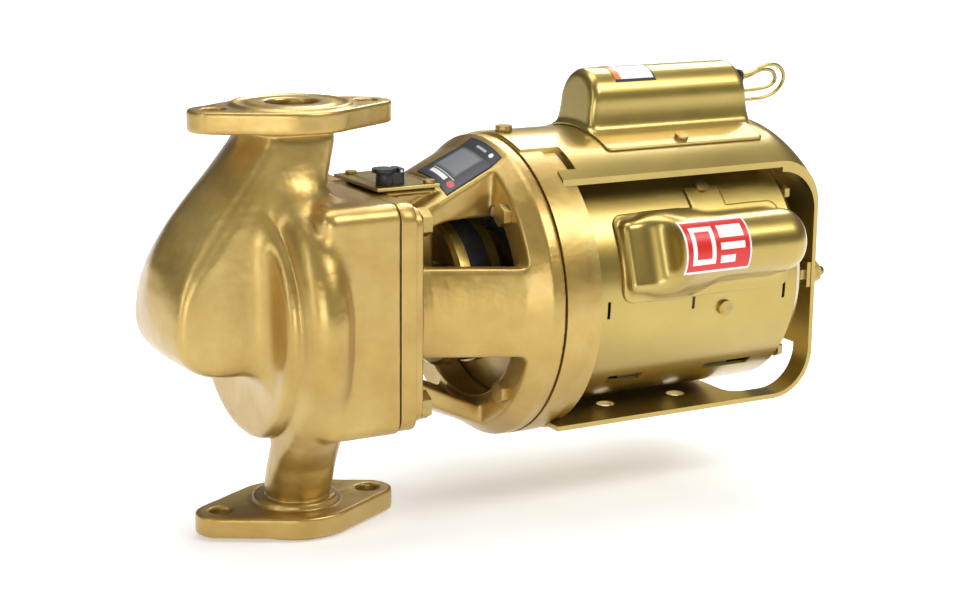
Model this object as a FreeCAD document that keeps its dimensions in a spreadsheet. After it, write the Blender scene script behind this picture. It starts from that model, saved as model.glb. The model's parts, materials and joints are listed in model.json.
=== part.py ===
import FreeCAD, Part

import math
import os
import re

import Sketcher

# In-line centrifugal pump with a cradle-mounted motor. +X runs along the shaft from pump to motor, +Z up.
# The origin is the centre of the lower pipe flange's gasket face. Every sub-part is drawn about the shaft
# axis and then raised by shaft_height.

Vector = FreeCAD.Vector
PARTS_FOLDER = "parts"
LOFT_DEGREE = 3

SIZES = {
    # pipe flanges
    "face_to_face": 215.9, "shaft_height": 113.4, "suction_port_radius": 13.0, "discharge_port_radius": 12.5,
    "flange_thick": 12.4,
    "flange_bolt_offset": 40.5, "flange_hole_radius": 5.6, "flange_end_radius": 13.0,
    "flange_waist_radius": 33.0, "face_radius": 30.0, "face_rise": 1.6,
    "groove_inner": 22.0, "groove_outer": 26.8, "groove_depth": 0.8, "boss_radius": 22.0, "boss_rise": 3.6,
    # casing
    "drum_front": -29.5, "drum_back": 3.0, "drum_radius": 67.0, "drum_round": 8.0,
    "square_front": -8.0, "casing_back": 31.0, "square_half": 57.5, "square_round": 9.0,
    "chamber_front": -16.0, "chamber_radius": 53.0, "scroll_front": -18.0, "scroll_back": -1.0,
    "scroll_radius": 61.5, "eye_radius": 19.0, "eye_front": -45.0,
    "corner_bolt_offset": 46.0, "stud_hole_front": 12.0, "stud_hole_radius": 4.05,
    # cover plate and gasket
    "gasket_back": 31.6, "gasket_bore": 53.5, "cover_back": 40.0, "cover_half": 57.0, "spigot_front": 27.0,
    "spigot_radius": 52.8, "seat_bore": 16.0, "bolt_clearance_radius": 4.5,
    # rotating wet parts
    "shaft_radius": 6.35, "shaft_front": -24.0, "shaft_back": 80.5, "running_gap": 0.05,
    "impeller_front": -22.0, "shroud_front": -12.5, "shroud_thick": 2.5, "blade_back": 4.0, "hub_back": 13.0,
    "impeller_radius": 46.0, "eye_collar_radius": 18.4, "eye_inner_radius": 15.6, "hub_radius": 12.0,
    "hub_front": -16.0, "blade_inner": 19.0, "blade_curve": 34.0, "blade_thick": 2.4,
    "nut_thick": 5.5, "nut_corner_radius": 9.2, "seal_spring_front": 13.6, "seal_spring_back": 23.4,
    "seal_spring_radius": 10.4, "seal_wire_radius": 0.9, "seal_head_back": 29.9, "seal_head_radius": 13.0,
    "seat_front": 30.0, "seat_inner": 8.6, "seat_back": 38.5,
    # bearing bracket
    "bracket_flange_back": 45.5, "bracket_flange_half": 54.0, "barrel_back": 70.0, "barrel_radius": 18.0,
    "bearing_radius": 9.5, "front_bearing_front": 46.0, "front_bearing_back": 55.0,
    "rear_bearing_front": 61.0, "slinger_radius": 11.5, "slinger_front": 56.5, "slinger_back": 59.5,
    "slinger_room_radius": 14.0, "arm_half": 22.5, "top_arm_half": 30.0, "arm_thick": 10.0,
    "cone_front": 45.0, "cone_front_radius": 50.0, "cone_back_radius": 72.7, "web_low": 42.0,
    "ring_front": 96.0, "ring_face": 112.4, "ring_radius": 79.0, "ring_nose_back": 105.0, "ring_bore": 57.0,
    "ring_bolt_offset": 45.5, "ring_bolt_radius": 3.1, "ring_bolt_back": 128.0,
    # oil reservoir
    "box_front": 45.6, "box_back": 68.0, "box_half": 21.0, "box_top": 57.9, "box_wall": 3.5,
    "room_front": 41.8,
    "rim_front": 40.1, "rim_back": 68.6, "rim_half": 23.0, "rim_low": 55.0,
    "oil_gasket_top": 58.4, "lid_front": 34.5, "lid_back": 69.5, "lid_half": 25.0, "lid_top": 60.2,
    "lid_screw_front": 42.2, "lid_screw_back": 65.5, "lid_screw_side": 20.5, "lid_screw_radius": 1.5,
    "lid_screw_head_radius": 3.0, "lid_screw_head_top": 61.8, "lid_screw_low": 56.0,
    "cup_x": 43.5, "cup_y": -16.0, "cup_top": 66.5, "cup_radius": 4.9, "cup_bore": 1.5,
    "cup_ear_front": 48.6, "cup_ear_back": 51.8, "cup_lid_top": 68.6, "cup_lid_radius": 5.8,
    "cup_pin_x": 50.2, "cup_pin_z": 67.3, "cup_pin_radius": 0.8,
    # casing bolts and ring bolts
    "casing_bolt_radius": 4.0, "casing_bolt_head_back": 50.8, "casing_bolt_corner_radius": 7.4,
    "ring_bolt_head_front": 91.6, "ring_bolt_corner_radius": 5.8,
    # nameplate
    "nameplate_front": 71.0, "nameplate_back": 102.5, "nameplate_thick": 0.5, "plate_gap": 0.25,
    "nameplate_nose_rise": 3.95, "nameplate_near": 29.0, "nameplate_far": -3.0,
    # coupling
    "pump_hub_front": 72.0, "pump_hub_flange": 74.6, "insert_front": 82.0, "insert_back": 94.0,
    "coupler_radius": 39.0, "insert_radius": 38.0, "coupler_hub_radius": 15.0,
    "motor_hub_back": 104.0, "coupler_dish_radius": 31.0, "coupler_dish_depth": 5.0,
    "set_screw_radius": 2.5, "set_screw_top": 14.6,
    # motor
    "motor_shaft_radius": 7.94, "motor_shaft_front": 95.0, "motor_shaft_back": 280.0,
    "mount_web_back": 118.0, "mount_ring_step": 125.0, "mount_ring_back": 133.5, "mount_ring_bore": 66.6,
    "mount_web_bore": 36.0, "strap_seat_radius": 77.4, "plate_seat_height": 66.6,
    "rubber_back": 126.0, "front_hub_radius": 28.0, "front_hub_front": 114.0,
    "bell_front": 131.0, "shell_front": 134.0, "shell_back": 263.5, "shell_radius": 66.0, "shell_wall": 1.5,
    "bell_spigot": 4.0, "bell_wall": 4.0, "motor_bearing_radius": 16.0, "front_bearing_start": 116.0,
    "front_bearing_end": 127.0, "rear_bearing_start": 266.0, "rear_bearing_end": 276.0,
    "rear_bell_back": 267.5, "rear_hub_back": 278.0, "rear_hub_radius": 25.0, "rear_rubber_front": 269.0,
    "rear_rubber_back": 277.0, "rear_rubber_radius": 31.0, "clamp_collar_radius": 34.0,
    "clamp_flange_front": 282.4, "clamp_flange_radius": 41.0,
    "stator_front": 165.0, "stator_back": 235.0, "stator_radius": 64.3, "stator_bore": 36.0,
    "winding_front": 148.0, "winding_back": 251.0, "winding_inner": 39.0, "winding_outer": 56.0,
    "rotor_radius": 35.5, "rotor_front": 166.0, "rotor_back": 234.0,
    "fan_front": 139.0, "fan_hub_back": 146.0, "fan_radius": 50.0, "fan_hub_radius": 14.0,
    "governor_front": 236.0, "governor_back": 246.0, "governor_radius": 22.0,
    "switch_front": 254.0, "switch_back": 259.4, "switch_low": 26.0, "switch_high": 40.0, "switch_half": 14.0,
    "through_bolt_offset": 43.4, "through_bolt_radius": 2.2, "through_bolt_front": 131.5,
    "through_bolt_head_back": 270.5, "through_bolt_corner_radius": 4.4,
    "vent_front": 157.0, "vent_front_end": 178.0, "vent_back": 218.0, "vent_back_end": 248.0,
    "vent_half": 2.8, "vent_tilt": 45.0, "slot_front": 145.0, "slot_middle": 197.0, "slot_back": 255.0,
    "ground_screw_x": 217.0, "ground_screw_tilt": 9.0, "ground_screw_radius": 2.2,
    "ground_screw_head_radius": 4.2,
    # yoke strap
    "strap_radius": 80.0, "strap_thick": 2.5, "strap_front": 136.0, "strap_bend_start": 262.5,
    "strap_bend_radius": 25.0, "strap_half": 51.0, "tongue_front": 113.2, "tongue_half": 28.5,
    "tab_front": 125.3, "tab_inner": 45.5, "plate_top": 66.8, "plate_front": 125.0, "plate_half": 50.0,
    "base_hole_front": 170.5, "base_hole_back": 215.6, "base_hole_side": 25.0, "base_hole_radius": 5.0,
    "window_front": 243.0, "window_half": 38.0, "window_top": -43.0, "window_round": 9.0,
    "band_hole_radius": 20.0,
    "tongue_screw_x": 120.0, "yoke_screw_radius": 2.6, "yoke_screw_head_radius": 4.4,
    "yoke_screw_head_rise": 3.0, "base_screw_x": 129.6, "base_screw_side": 30.0,
    "clamp_screw_y": -44.5, "clamp_screw_z": -2.5, "clamp_screw_radius": 2.6, "clamp_screw_back": 296.8,
    "clamp_head_front": 279.0, "clamp_head_corner_radius": 5.2, "clamp_nut_corner_radius": 6.4,
    "clamp_nut_thick": 5.0,
    # top capacitor
    "top_cover_front": 164.5, "top_cover_back": 262.0, "top_cover_half": 17.0, "top_cover_top": 110.2,
    "skirt_front": 161.0, "skirt_back": 258.0, "skirt_half": 36.5, "skirt_radius": 81.25,
    "cover_sheet": 1.2, "cover_gap": 0.05, "capacitor_radius": 12.5, "top_capacitor_front": 172.0,
    "top_capacitor_back": 250.0, "top_capacitor_height": 94.6,
    "top_screw_x": 210.0, "top_screw_angle": 22.5, "top_screw_depth": 5.0,
    "cover_screw_radius": 1.8, "cover_screw_head_radius": 3.6, "cover_screw_head_rise": 2.0,
    "label_front": 180.0, "label_back": 205.0, "label_thick": 0.25, "label_low_side": 13.5,
    "label_high_side": -8.0,
    "cover_slab_width": 80.0,
    # side capacitor
    "side_tilt": 71.5, "side_flange_front": 153.0, "side_flange_back": 257.0, "side_flange_half": 23.0,
    "side_flange_radius": 67.25, "side_cover_front": 155.0, "side_ramp_end": 173.0, "side_cover_back": 255.0,
    "side_cover_half": 17.0, "side_cover_top": 95.0, "side_capacitor_front": 180.0,
    "side_capacitor_back": 239.0, "side_capacitor_height": 80.6,
    "side_screw_x": 214.0, "side_screw_depth": 2.6, "side_screw_angle": -30.0,
    "side_tab_front": 203.0, "side_tab_back": 225.0, "side_tab_reach": 39.0, "side_end_round": 11.0,
    "sticker_front": 174.0, "sticker_back": 214.0, "sticker_half": 13.4,
    # lead wires
    "wire_radius": 1.0, "grommet_back": 264.0, "grommet_low": 85.5, "grommet_high": 105.5,
    "grommet_left": -11.0, "grommet_right": -1.5, "grommet_round": 2.5,
}

DUCT_OUTSIDE = [
    # height above shaft, front, back, half width, corner radius
    (92.0, -26.0, 22.5, 24.3, 23.0),
    (80.0, -32.0, 22.0, 25.0, 22.0),
    (62.0, -50.5, 18.0, 27.0, 20.0),
    (45.0, -66.5, 13.0, 28.5, 19.0),
    (28.0, -76.6, 5.5, 30.0, 16.0),
    (10.0, -79.5, -2.0, 31.0, 12.5),
    (-6.0, -76.2, -7.0, 31.0, 12.0),
    (-18.0, -66.0, -10.0, 29.5, 11.0),
    (-28.0, -49.0, -10.0, 25.5, 10.0),
]
DUCT_INSIDE = [
    (92.0, -12.6, 12.6, 12.6, 12.5),
    (82.0, -24.0, 10.0, 17.0, 13.0),
    (68.0, -39.0, -10.0, 20.0, 13.0),
    (45.0, -61.0, -30.0, 23.5, 13.0),
    (20.0, -73.5, -30.0, 25.5, 12.0),
    (0.0, -72.5, -30.0, 26.0, 11.0),
    (-14.0, -61.5, -30.0, 24.5, 10.0),
    (-22.0, -50.0, -32.0, 19.0, 8.0),
]
OUTLET_OUTSIDE = [
    # height above shaft, front, back, centre across, half width, corner radius
    (56.0, -17.0, -3.0, -42.0, 13.0, 6.5),
    (40.0, -20.0, 2.0, -45.0, 19.0, 10.0),
    (4.0, -21.5, 3.5, -47.0, 20.5, 11.5),
    (-28.0, -20.5, 4.0, -45.0, 21.5, 12.0),
    (-54.0, -18.5, 12.0, -31.0, 24.5, 15.0),
    (-72.0, -16.5, 19.0, -14.0, 22.0, 17.0),
    (-86.0, -15.5, 20.0, -5.0, 18.0, 17.4),
    (-101.5, -17.0, 19.0, -2.5, 18.2, 17.6),
    (-108.0, -17.0, 19.0, -2.5, 18.2, 17.6),
]
OUTLET_INSIDE = [
    (0.0, -17.0, -2.5, -53.5, 8.0, 7.0),
    (-28.0, -16.5, -1.5, -47.0, 11.0, 7.4),
    (-54.0, -14.0, 7.0, -31.0, 15.0, 10.0),
    (-72.0, -11.5, 14.0, -13.0, 14.0, 12.0),
    (-86.0, -10.0, 15.0, -5.0, 12.6, 12.4),
    (-101.8, -12.1, 12.1, 0.0, 12.1, 12.0),
]
OUTER_LEAD = [
    (264.0, -7.0, 102.5), (272.0, -7.0, 102.5), (280.5, -7.3, 107.6), (290.0, -7.2, 107.2),
    (295.6, -6.8, 100.5), (291.5, -6.4, 92.6), (282.5, -6.1, 88.9), (273.0, -6.0, 88.6), (264.0, -6.0, 88.6),
]
INNER_LEAD = [
    (264.0, -3.5, 100.2), (272.0, -3.5, 100.2), (280.8, -3.5, 104.6), (289.0, -3.4, 103.8),
    (292.2, -3.3, 98.0), (287.0, -3.2, 94.2), (275.5, -3.2, 93.2), (264.0, -3.2, 93.2),
]

doc = FreeCAD.newDocument("pump")
sheet = doc.addObject("Spreadsheet::Sheet", "sizes")
for row, (alias, number) in enumerate(SIZES.items(), start=1):
    sheet.set(f"A{row}", alias)
    sheet.set(f"B{row}", str(number))
    sheet.setAlias(f"B{row}", alias)

NODES = {}


# ---------------------------------------------------------------- sizes and placing

def cell(text):
    """Expression text with each size's name pointed at the sheet."""
    return re.sub(r"[a-z_]+", lambda word: "sizes." + word[0] if word[0] in SIZES else word[0], text)


def value(text):
    """Number that a sum or difference of sizes comes to."""
    total, sign = 0.0, 1.0
    for word in text.split():
        if word in ("+", "-"):
            sign = 1.0 if word == "+" else -1.0
        elif word in SIZES:
            total += sign * SIZES[word]
        else:
            total += sign * float(word)
    return total


def bind(piece, **sizes):
    """Bind properties to the sheet."""
    for name, text in sizes.items():
        piece.setExpression(name, cell(text))


def place(piece, x="0", y="0", z="0"):
    for name, text in (("x", x), ("y", y), ("z", z)):
        piece.setExpression("Placement.Base." + name, cell(text))


def node(name, *pieces, tilt=None):
    """Keep a finished sub-part, raised to the shaft's height and turned about the shaft if asked."""
    whole = pieces[0]
    if len(pieces) > 1 or whole.TypeId in ("Part::Box", "Part::Cylinder", "Part::Feature", "Part::Compound"):
        whole = doc.addObject("Part::Compound", name + "_set")
        whole.Links = list(pieces)
    whole.Label = name
    if tilt:
        whole.Placement.Rotation = FreeCAD.Rotation(Vector(1, 0, 0), value(tilt))
    place(whole, z="shaft_height")
    NODES[name] = whole


# ---------------------------------------------------------------- shapes

AXIS_TURNS = {
    "x": FreeCAD.Rotation(Vector(0, 1, 0), 90),
    "y": FreeCAD.Rotation(Vector(1, 0, 0), -90),
    "z": FreeCAD.Rotation(),
}


def lay_along(piece, axis, start, across):
    """Point a piece's own Z along an axis, from start, at the other two coordinates."""
    piece.Placement = FreeCAD.Placement(Vector(), AXIS_TURNS[axis])
    places = dict(zip("xyz".replace(axis, ""), across))
    places[axis] = start
    place(piece, **places)


def rod(name, radius, span, across=("0", "0"), axis="x"):
    piece = doc.addObject("Part::Cylinder", name)
    bind(piece, Radius=radius, Height=f"({span[1]}) - ({span[0]})")
    lay_along(piece, axis, span[0], across)
    return piece


def hexagon(name, corner_radius, span, across=("0", "0"), axis="x"):
    piece = doc.addObject("Part::Prism", name)
    piece.Polygon = 6
    bind(piece, Circumradius=corner_radius, Height=f"({span[1]}) - ({span[0]})")
    lay_along(piece, axis, span[0], across)
    return piece


def block(name, x, y, z):
    piece = doc.addObject("Part::Box", name)
    bind(piece, Length=f"({x[1]}) - ({x[0]})", Width=f"({y[1]}) - ({y[0]})", Height=f"({z[1]}) - ({z[0]})")
    place(piece, x=x[0], y=y[0], z=z[0])
    return piece


def square_block(name, x, half):
    return block(name, x, ("0 - " + half, half), ("0 - " + half, half))


def fuse(name, *pieces):
    whole = doc.addObject("Part::MultiFuse", name)
    whole.Shapes = list(pieces)
    return whole


def cut(name, base, *tools):
    whole = doc.addObject("Part::Cut", name)
    whole.Base = base
    whole.Tool = tools[0] if len(tools) == 1 else fuse(name + "_tools", *tools)
    return whole


def cut_in_turn(name, base, tools):
    """Cut freeform hollows one after another, which is steadier than cutting their union."""
    for tool in tools:
        base = cut(name, base, tool)
        base.Refine = False
    return base


def fuse_in_turn(name, *pieces):
    """Join freeform pieces one after another, which is steadier than joining them all at once."""
    base = pieces[0]
    for piece in pieces[1:]:
        whole = doc.addObject("Part::Fuse", name)
        whole.Base = base
        whole.Tool = piece
        whole.Refine = False
        base = whole
    return base


def common(name, *pieces):
    whole = doc.addObject("Part::MultiCommon", name)
    whole.Shapes = list(pieces)
    return whole


def ring(name, outer, inner, span, across=("0", "0"), axis="x"):
    solid = rod(name + "_solid", outer, span, across, axis)
    hole = rod(name + "_hole", inner, (span[0] + " - 1", span[1] + " + 1"), across, axis)
    return cut(name, solid, hole)


def rounded(name, base, radius, wanted):
    """Fillet the edges for which wanted(edge) is true."""
    doc.recompute()
    whole = doc.addObject("Part::Fillet", name)
    whole.Base = base
    size = value(radius)
    whole.Edges = [(i, size, size) for i, edge in enumerate(base.Shape.Edges, start=1) if wanted(edge)]
    return whole


def runs_along_shaft(edge):
    along = edge.valueAt(edge.LastParameter) - edge.valueAt(edge.FirstParameter)
    return abs(along.x) > 0.5 and abs(along.y) + abs(along.z) < 0.01


def four_corners(offset):
    """Signed expressions for the four points at equal offsets across and up."""
    return [(s + offset, t + offset) for s in ("0 - ", "0 + ") for t in ("0 - ", "0 + ")]


def fastener(name, shank, shank_span, corner_radius, head_span, across, axis="x", head=hexagon):
    return fuse(name, rod(name + "_shank", shank, shank_span, across, axis),
                head(name + "_head", corner_radius, head_span, across, axis))


# ---------------------------------------------------------------- sketched bodies

def sketch_on(body, plane):
    sketch = body.newObject("Sketcher::SketchObject", body.Name + "_sketch")
    feature = [origin for origin in body.Origin.OriginFeatures if origin.Role == plane][0]
    sketch.AttachmentSupport = (feature, [""])
    sketch.MapMode = "FlatFace"
    return sketch


def hold_vertex(sketch, line, across, up):
    """Hold a line's start at bound distances from the sketch's origin."""
    for kind, text, axis in (("DistanceX", across, -2), ("DistanceY", up, -1)):
        number = value(text)
        if number == 0:
            sketch.addConstraint(Sketcher.Constraint("PointOnObject", line, 1, axis))
        else:
            index = sketch.addConstraint(Sketcher.Constraint(kind, -1, 1, line, 1, number))
            sketch.setExpression(f"Constraints[{index}]", cell(text))


def draw_outline(sketch, outline):
    """Closed polygon through points given as pairs of size expressions."""
    points = [Vector(value(across), value(up), 0) for across, up in outline]
    for start, end in zip(points, points[1:] + points[:1]):
        sketch.addGeometry(Part.LineSegment(start, end), False)
    count = len(points)
    for line in range(count):
        sketch.addConstraint(Sketcher.Constraint("Coincident", line, 2, (line + 1) % count, 1))
    for line, (across, up) in enumerate(outline):
        hold_vertex(sketch, line, across, up)


def turned(name, outline):
    """Solid turned about the shaft axis from (station, radius) points."""
    body = doc.addObject("PartDesign::Body", name)
    sketch = sketch_on(body, "XZ_Plane")
    draw_outline(sketch, outline)
    turn = body.newObject("PartDesign::Revolution", name + "_turn")
    turn.Profile = sketch
    turn.ReferenceAxis = (sketch, ["H_Axis"])
    turn.Angle = 360
    return body


def slab(name, outline, width):
    """Plate with an outline in the shaft's upright plane, centred across it."""
    body = doc.addObject("PartDesign::Body", name)
    sketch = sketch_on(body, "XZ_Plane")
    draw_outline(sketch, outline)
    pad = body.newObject("PartDesign::Pad", name + "_pad")
    pad.Profile = sketch
    pad.SideType = "Symmetric"
    bind(pad, Length=width)
    return body


def oval_plate(name, thickness, low):
    """Two bolt bosses joined by straight sides tangent to a round waist, padded up from low."""
    offset, end, waist = value("flange_bolt_offset"), value("flange_end_radius"), value("flange_waist_radius")
    lean = math.acos((waist - end) / offset)
    arcs = [
        (offset, end, "flange_end_radius", -lean, lean),
        (0.0, waist, "flange_waist_radius", lean, math.pi - lean),
        (-offset, end, "flange_end_radius", math.pi - lean, math.pi + lean),
        (0.0, waist, "flange_waist_radius", math.pi + lean, 2 * math.pi - lean),
    ]
    body = doc.addObject("PartDesign::Body", name)
    sketch = sketch_on(body, "XY_Plane")
    for centre, radius, _, start, end_angle in arcs:
        circle = Part.Circle(Vector(centre, 0, 0), Vector(0, 0, 1), radius)
        sketch.addGeometry(Part.ArcOfCircle(circle, start, end_angle), False)
    count = len(arcs)
    for this in range(count):
        start = sketch.Geometry[this].EndPoint
        end_point = sketch.Geometry[(this + 1) % count].StartPoint
        sketch.addGeometry(Part.LineSegment(start, end_point), False)
    for this in range(count):
        line = count + this
        sketch.addConstraint(Sketcher.Constraint("Tangent", this, 2, line, 1))
        sketch.addConstraint(Sketcher.Constraint("Tangent", line, 2, (this + 1) % count, 1))
    for this, (centre, radius, alias, _, _) in enumerate(arcs):
        index = sketch.addConstraint(Sketcher.Constraint("Radius", this, radius))
        sketch.setExpression(f"Constraints[{index}]", cell(alias))
        if centre == 0:
            sketch.addConstraint(Sketcher.Constraint("Coincident", this, 3, -1, 1))
        else:
            sketch.addConstraint(Sketcher.Constraint("PointOnObject", this, 3, -1))
            index = sketch.addConstraint(Sketcher.Constraint("DistanceX", -1, 1, this, 3, centre))
            side = "flange_bolt_offset" if centre > 0 else "0 - flange_bolt_offset"
            sketch.setExpression(f"Constraints[{index}]", cell(side))
    pad = body.newObject("PartDesign::Pad", name + "_pad")
    pad.Profile = sketch
    bind(pad, Length=thickness)
    place(body, z=low)
    return body


# ---------------------------------------------------------------- freeform shapes

def feature(name, shape):
    piece = doc.addObject("Part::Feature", name)
    piece.Shape = shape
    return piece


def rounded_rectangle(height, front, back, centre, half, corner):
    """Level wire with rounded corners."""
    left, right = centre - half, centre + half
    corners = [(back, right, 0), (front, right, 90), (front, left, 180), (back, left, 270)]
    arcs = []
    for x, y, angle in corners:
        inward_x = corner if x == front else -corner
        inward_y = corner if y == left else -corner
        middle = Vector(x + inward_x, y + inward_y, height)
        circle = Part.Circle(middle, Vector(0, 0, 1), corner)
        arcs.append(Part.ArcOfCircle(circle, math.radians(angle), math.radians(angle + 90)))
    edges = []
    for arc, following in zip(arcs, arcs[1:] + arcs[:1]):
        edges += [arc.toShape(), Part.LineSegment(arc.EndPoint, following.StartPoint).toShape()]
    return Part.Wire(edges)


def duct(name, sections):
    """Solid lofted through level rounded rectangles centred across the shaft."""
    wires = [rounded_rectangle(height, front, back, 0.0, half, corner)
             for height, front, back, half, corner in sections]
    return feature(name, Part.makeLoft(wires, True, False, False, LOFT_DEGREE))


def outlet(name, sections):
    """Solid lofted through level rounded rectangles, each with its own centre."""
    wires = [rounded_rectangle(*section) for section in sections]
    return feature(name, Part.makeLoft(wires, True, False, False, LOFT_DEGREE))


def lead_tube(name, route):
    """Round wire of straight runs joined by tangent arcs."""
    points = [Vector(*point) for point in route]
    edges, start, radii = [], points[0], []
    for before, corner, after in zip(points, points[1:], points[2:]):
        into, out = (corner - before).normalize(), (after - corner).normalize()
        shorter = min((corner - before).Length, (after - corner).Length)
        half_turn = into.getAngle(out) / 2
        radius = 0.45 * shorter / math.tan(half_turn)
        radii.append(round(radius, 1))
        first, last = corner - into * (0.45 * shorter), corner + out * (0.45 * shorter)
        toward_centre = (out - into).normalize()
        centre = corner + toward_centre * (radius / math.cos(half_turn))
        middle = centre - toward_centre * radius
        edges += [Part.LineSegment(start, first).toShape(), Part.Arc(first, middle, last).toShape()]
        start = last
    edges.append(Part.LineSegment(start, points[-1]).toShape())
    path = Part.Wire(edges)
    section = Part.Wire([Part.makeCircle(value("wire_radius"), points[0], points[1] - points[0])])
    tube = path.makePipeShell([section], True, False)
    expected = math.pi * value("wire_radius") ** 2 * path.Length
    print(name, "bend radii", radii, "length", round(path.Length, 1), "volume ratio",
          round(tube.Volume / expected, 4))
    return feature(name, tube)


def strap_bend():
    """Quarter-round bend that carries the domed top of the strap over into its flat rear band."""
    half = value("strap_half")
    start, drop = value("strap_bend_start"), value("strap_bend_radius")
    across = [half * step / 6.0 for step in range(-6, 7)]
    turns = [math.radians(15.0 * step) for step in range(7)]

    def skin(crown, bend):
        grid = [[Vector(start + bend * math.sin(turn), y,
                        math.sqrt(crown ** 2 - y ** 2) - drop + bend * math.cos(turn))
                 for y in across] for turn in turns]
        surface = Part.BSplineSurface()
        surface.interpolate(grid)
        return surface

    outer = skin(value("strap_radius"), drop)
    inner = skin(value("strap_radius - strap_thick"), drop - value("strap_thick"))
    faces = [outer.toShape(), inner.toShape()]
    for curve in (lambda s: s.uIso(0), lambda s: s.uIso(1), lambda s: s.vIso(0), lambda s: s.vIso(1)):
        faces.append(Part.makeRuledSurface(curve(outer).toShape(), curve(inner).toShape()))
    shell = Part.makeShell(faces)
    shell.sewShape()
    solid = Part.makeSolid(Part.Shell(shell.Faces))
    if solid.Volume < 0:
        solid.reverse()
    return feature("strap_bend", solid)


# ---------------------------------------------------------------- wet end

def volute_casing():
    top_face, bottom_face = "face_to_face - shaft_height", "0 - shaft_height"
    upper = oval_plate("upper_plate", "flange_thick - face_rise", top_face + " - flange_thick")
    lower = oval_plate("lower_plate", "flange_thick - face_rise", bottom_face + " + face_rise")
    upper_face = rod("upper_face", "face_radius", (top_face + " - flange_thick", top_face), axis="z")
    lower_face = rod("lower_face", "face_radius", (bottom_face, bottom_face + " + flange_thick"), axis="z")
    boss = rod("lower_boss", "boss_radius",
               (bottom_face + " + flange_thick - 1", bottom_face + " + flange_thick + boss_rise"), axis="z")
    drum_solid = rod("drum_solid", "drum_radius", ("drum_front", "drum_back"))
    drum = rounded("drum", drum_solid, "drum_round", lambda edge: edge.Curve.TypeId == "Part::GeomCircle")
    square_solid = square_block("square_solid", ("square_front", "casing_back"), "square_half")
    square = rounded("square", square_solid, "square_round", runs_along_shaft)
    outside = fuse_in_turn(
        "casing_outside", drum, square, duct("duct_outside", DUCT_OUTSIDE),
        outlet("outlet_outside", OUTLET_OUTSIDE), upper, upper_face, lower, boss, lower_face)
    hollows = [
        rod("upper_port", "suction_port_radius", (top_face + " - flange_thick", top_face + " + 1"), axis="z"),
        rod("lower_port", "discharge_port_radius",
            (bottom_face + " - 1", bottom_face + " + flange_thick"), axis="z"),
        rod("eye", "eye_radius", ("eye_front", "chamber_front + 0.1")),
        rod("chamber", "chamber_radius", ("chamber_front", "casing_back + 1")),
        rod("scroll", "scroll_radius", ("scroll_front", "scroll_back")),
        ring("upper_groove", "groove_outer", "groove_inner",
             (top_face + " - groove_depth", top_face + " + 1"), axis="z"),
        ring("lower_groove", "groove_outer", "groove_inner",
             (bottom_face + " - 1", bottom_face + " + groove_depth"), axis="z"),
    ]
    for side in ("0 - ", "0 + "):
        place_x = side + "flange_bolt_offset"
        hollows.append(rod("flange_hole_top", "flange_hole_radius",
                           (top_face + " - flange_thick - 1", top_face + " + 1"), (place_x, "0"), "z"))
        hollows.append(rod("flange_hole_low", "flange_hole_radius",
                           (bottom_face + " - 1", bottom_face + " + flange_thick + 1"), (place_x, "0"), "z"))
    for corner in four_corners("corner_bolt_offset"):
        hollows.append(rod("stud_hole", "stud_hole_radius", ("stud_hole_front", "casing_back + 1"), corner))
    hollows += [duct("duct_inside", DUCT_INSIDE), outlet("outlet_inside", OUTLET_INSIDE)]
    node("volute_casing", cut_in_turn("casing", outside, hollows))


def cover_and_gasket():
    clearance = [rod("corner_hole", "bolt_clearance_radius", ("casing_back - 1", "cover_back + 1"), corner)
                 for corner in four_corners("corner_bolt_offset")]
    sheet_solid = rounded("gasket_sheet", square_block("gasket_block", ("casing_back", "gasket_back"),
                                                       "cover_half"), "square_round", runs_along_shaft)
    gasket_bore = rod("gasket_bore_hole", "gasket_bore", ("casing_back - 1", "gasket_back + 1"))
    node("cover_gasket", cut("gasket", sheet_solid, gasket_bore, *clearance))
    plate = rounded("cover_slab", square_block("cover_block", ("gasket_back", "cover_back"), "cover_half"),
                    "square_round", runs_along_shaft)
    spigot = rod("cover_spigot", "spigot_radius", ("spigot_front", "gasket_back + 0.1"))
    seat_hole = rod("seat_hole", "seat_bore", ("spigot_front - 1", "seat_back"))
    shaft_hole = rod("cover_shaft_hole", "seat_inner", ("seat_back - 1", "cover_back + 1"))
    holes = [rod("cover_hole", "bolt_clearance_radius", ("spigot_front - 1", "cover_back + 1"), corner)
             for corner in four_corners("corner_bolt_offset")]
    node("cover_plate", cut("cover", fuse("cover_raw", plate, spigot), seat_hole, shaft_hole, *holes))


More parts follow.
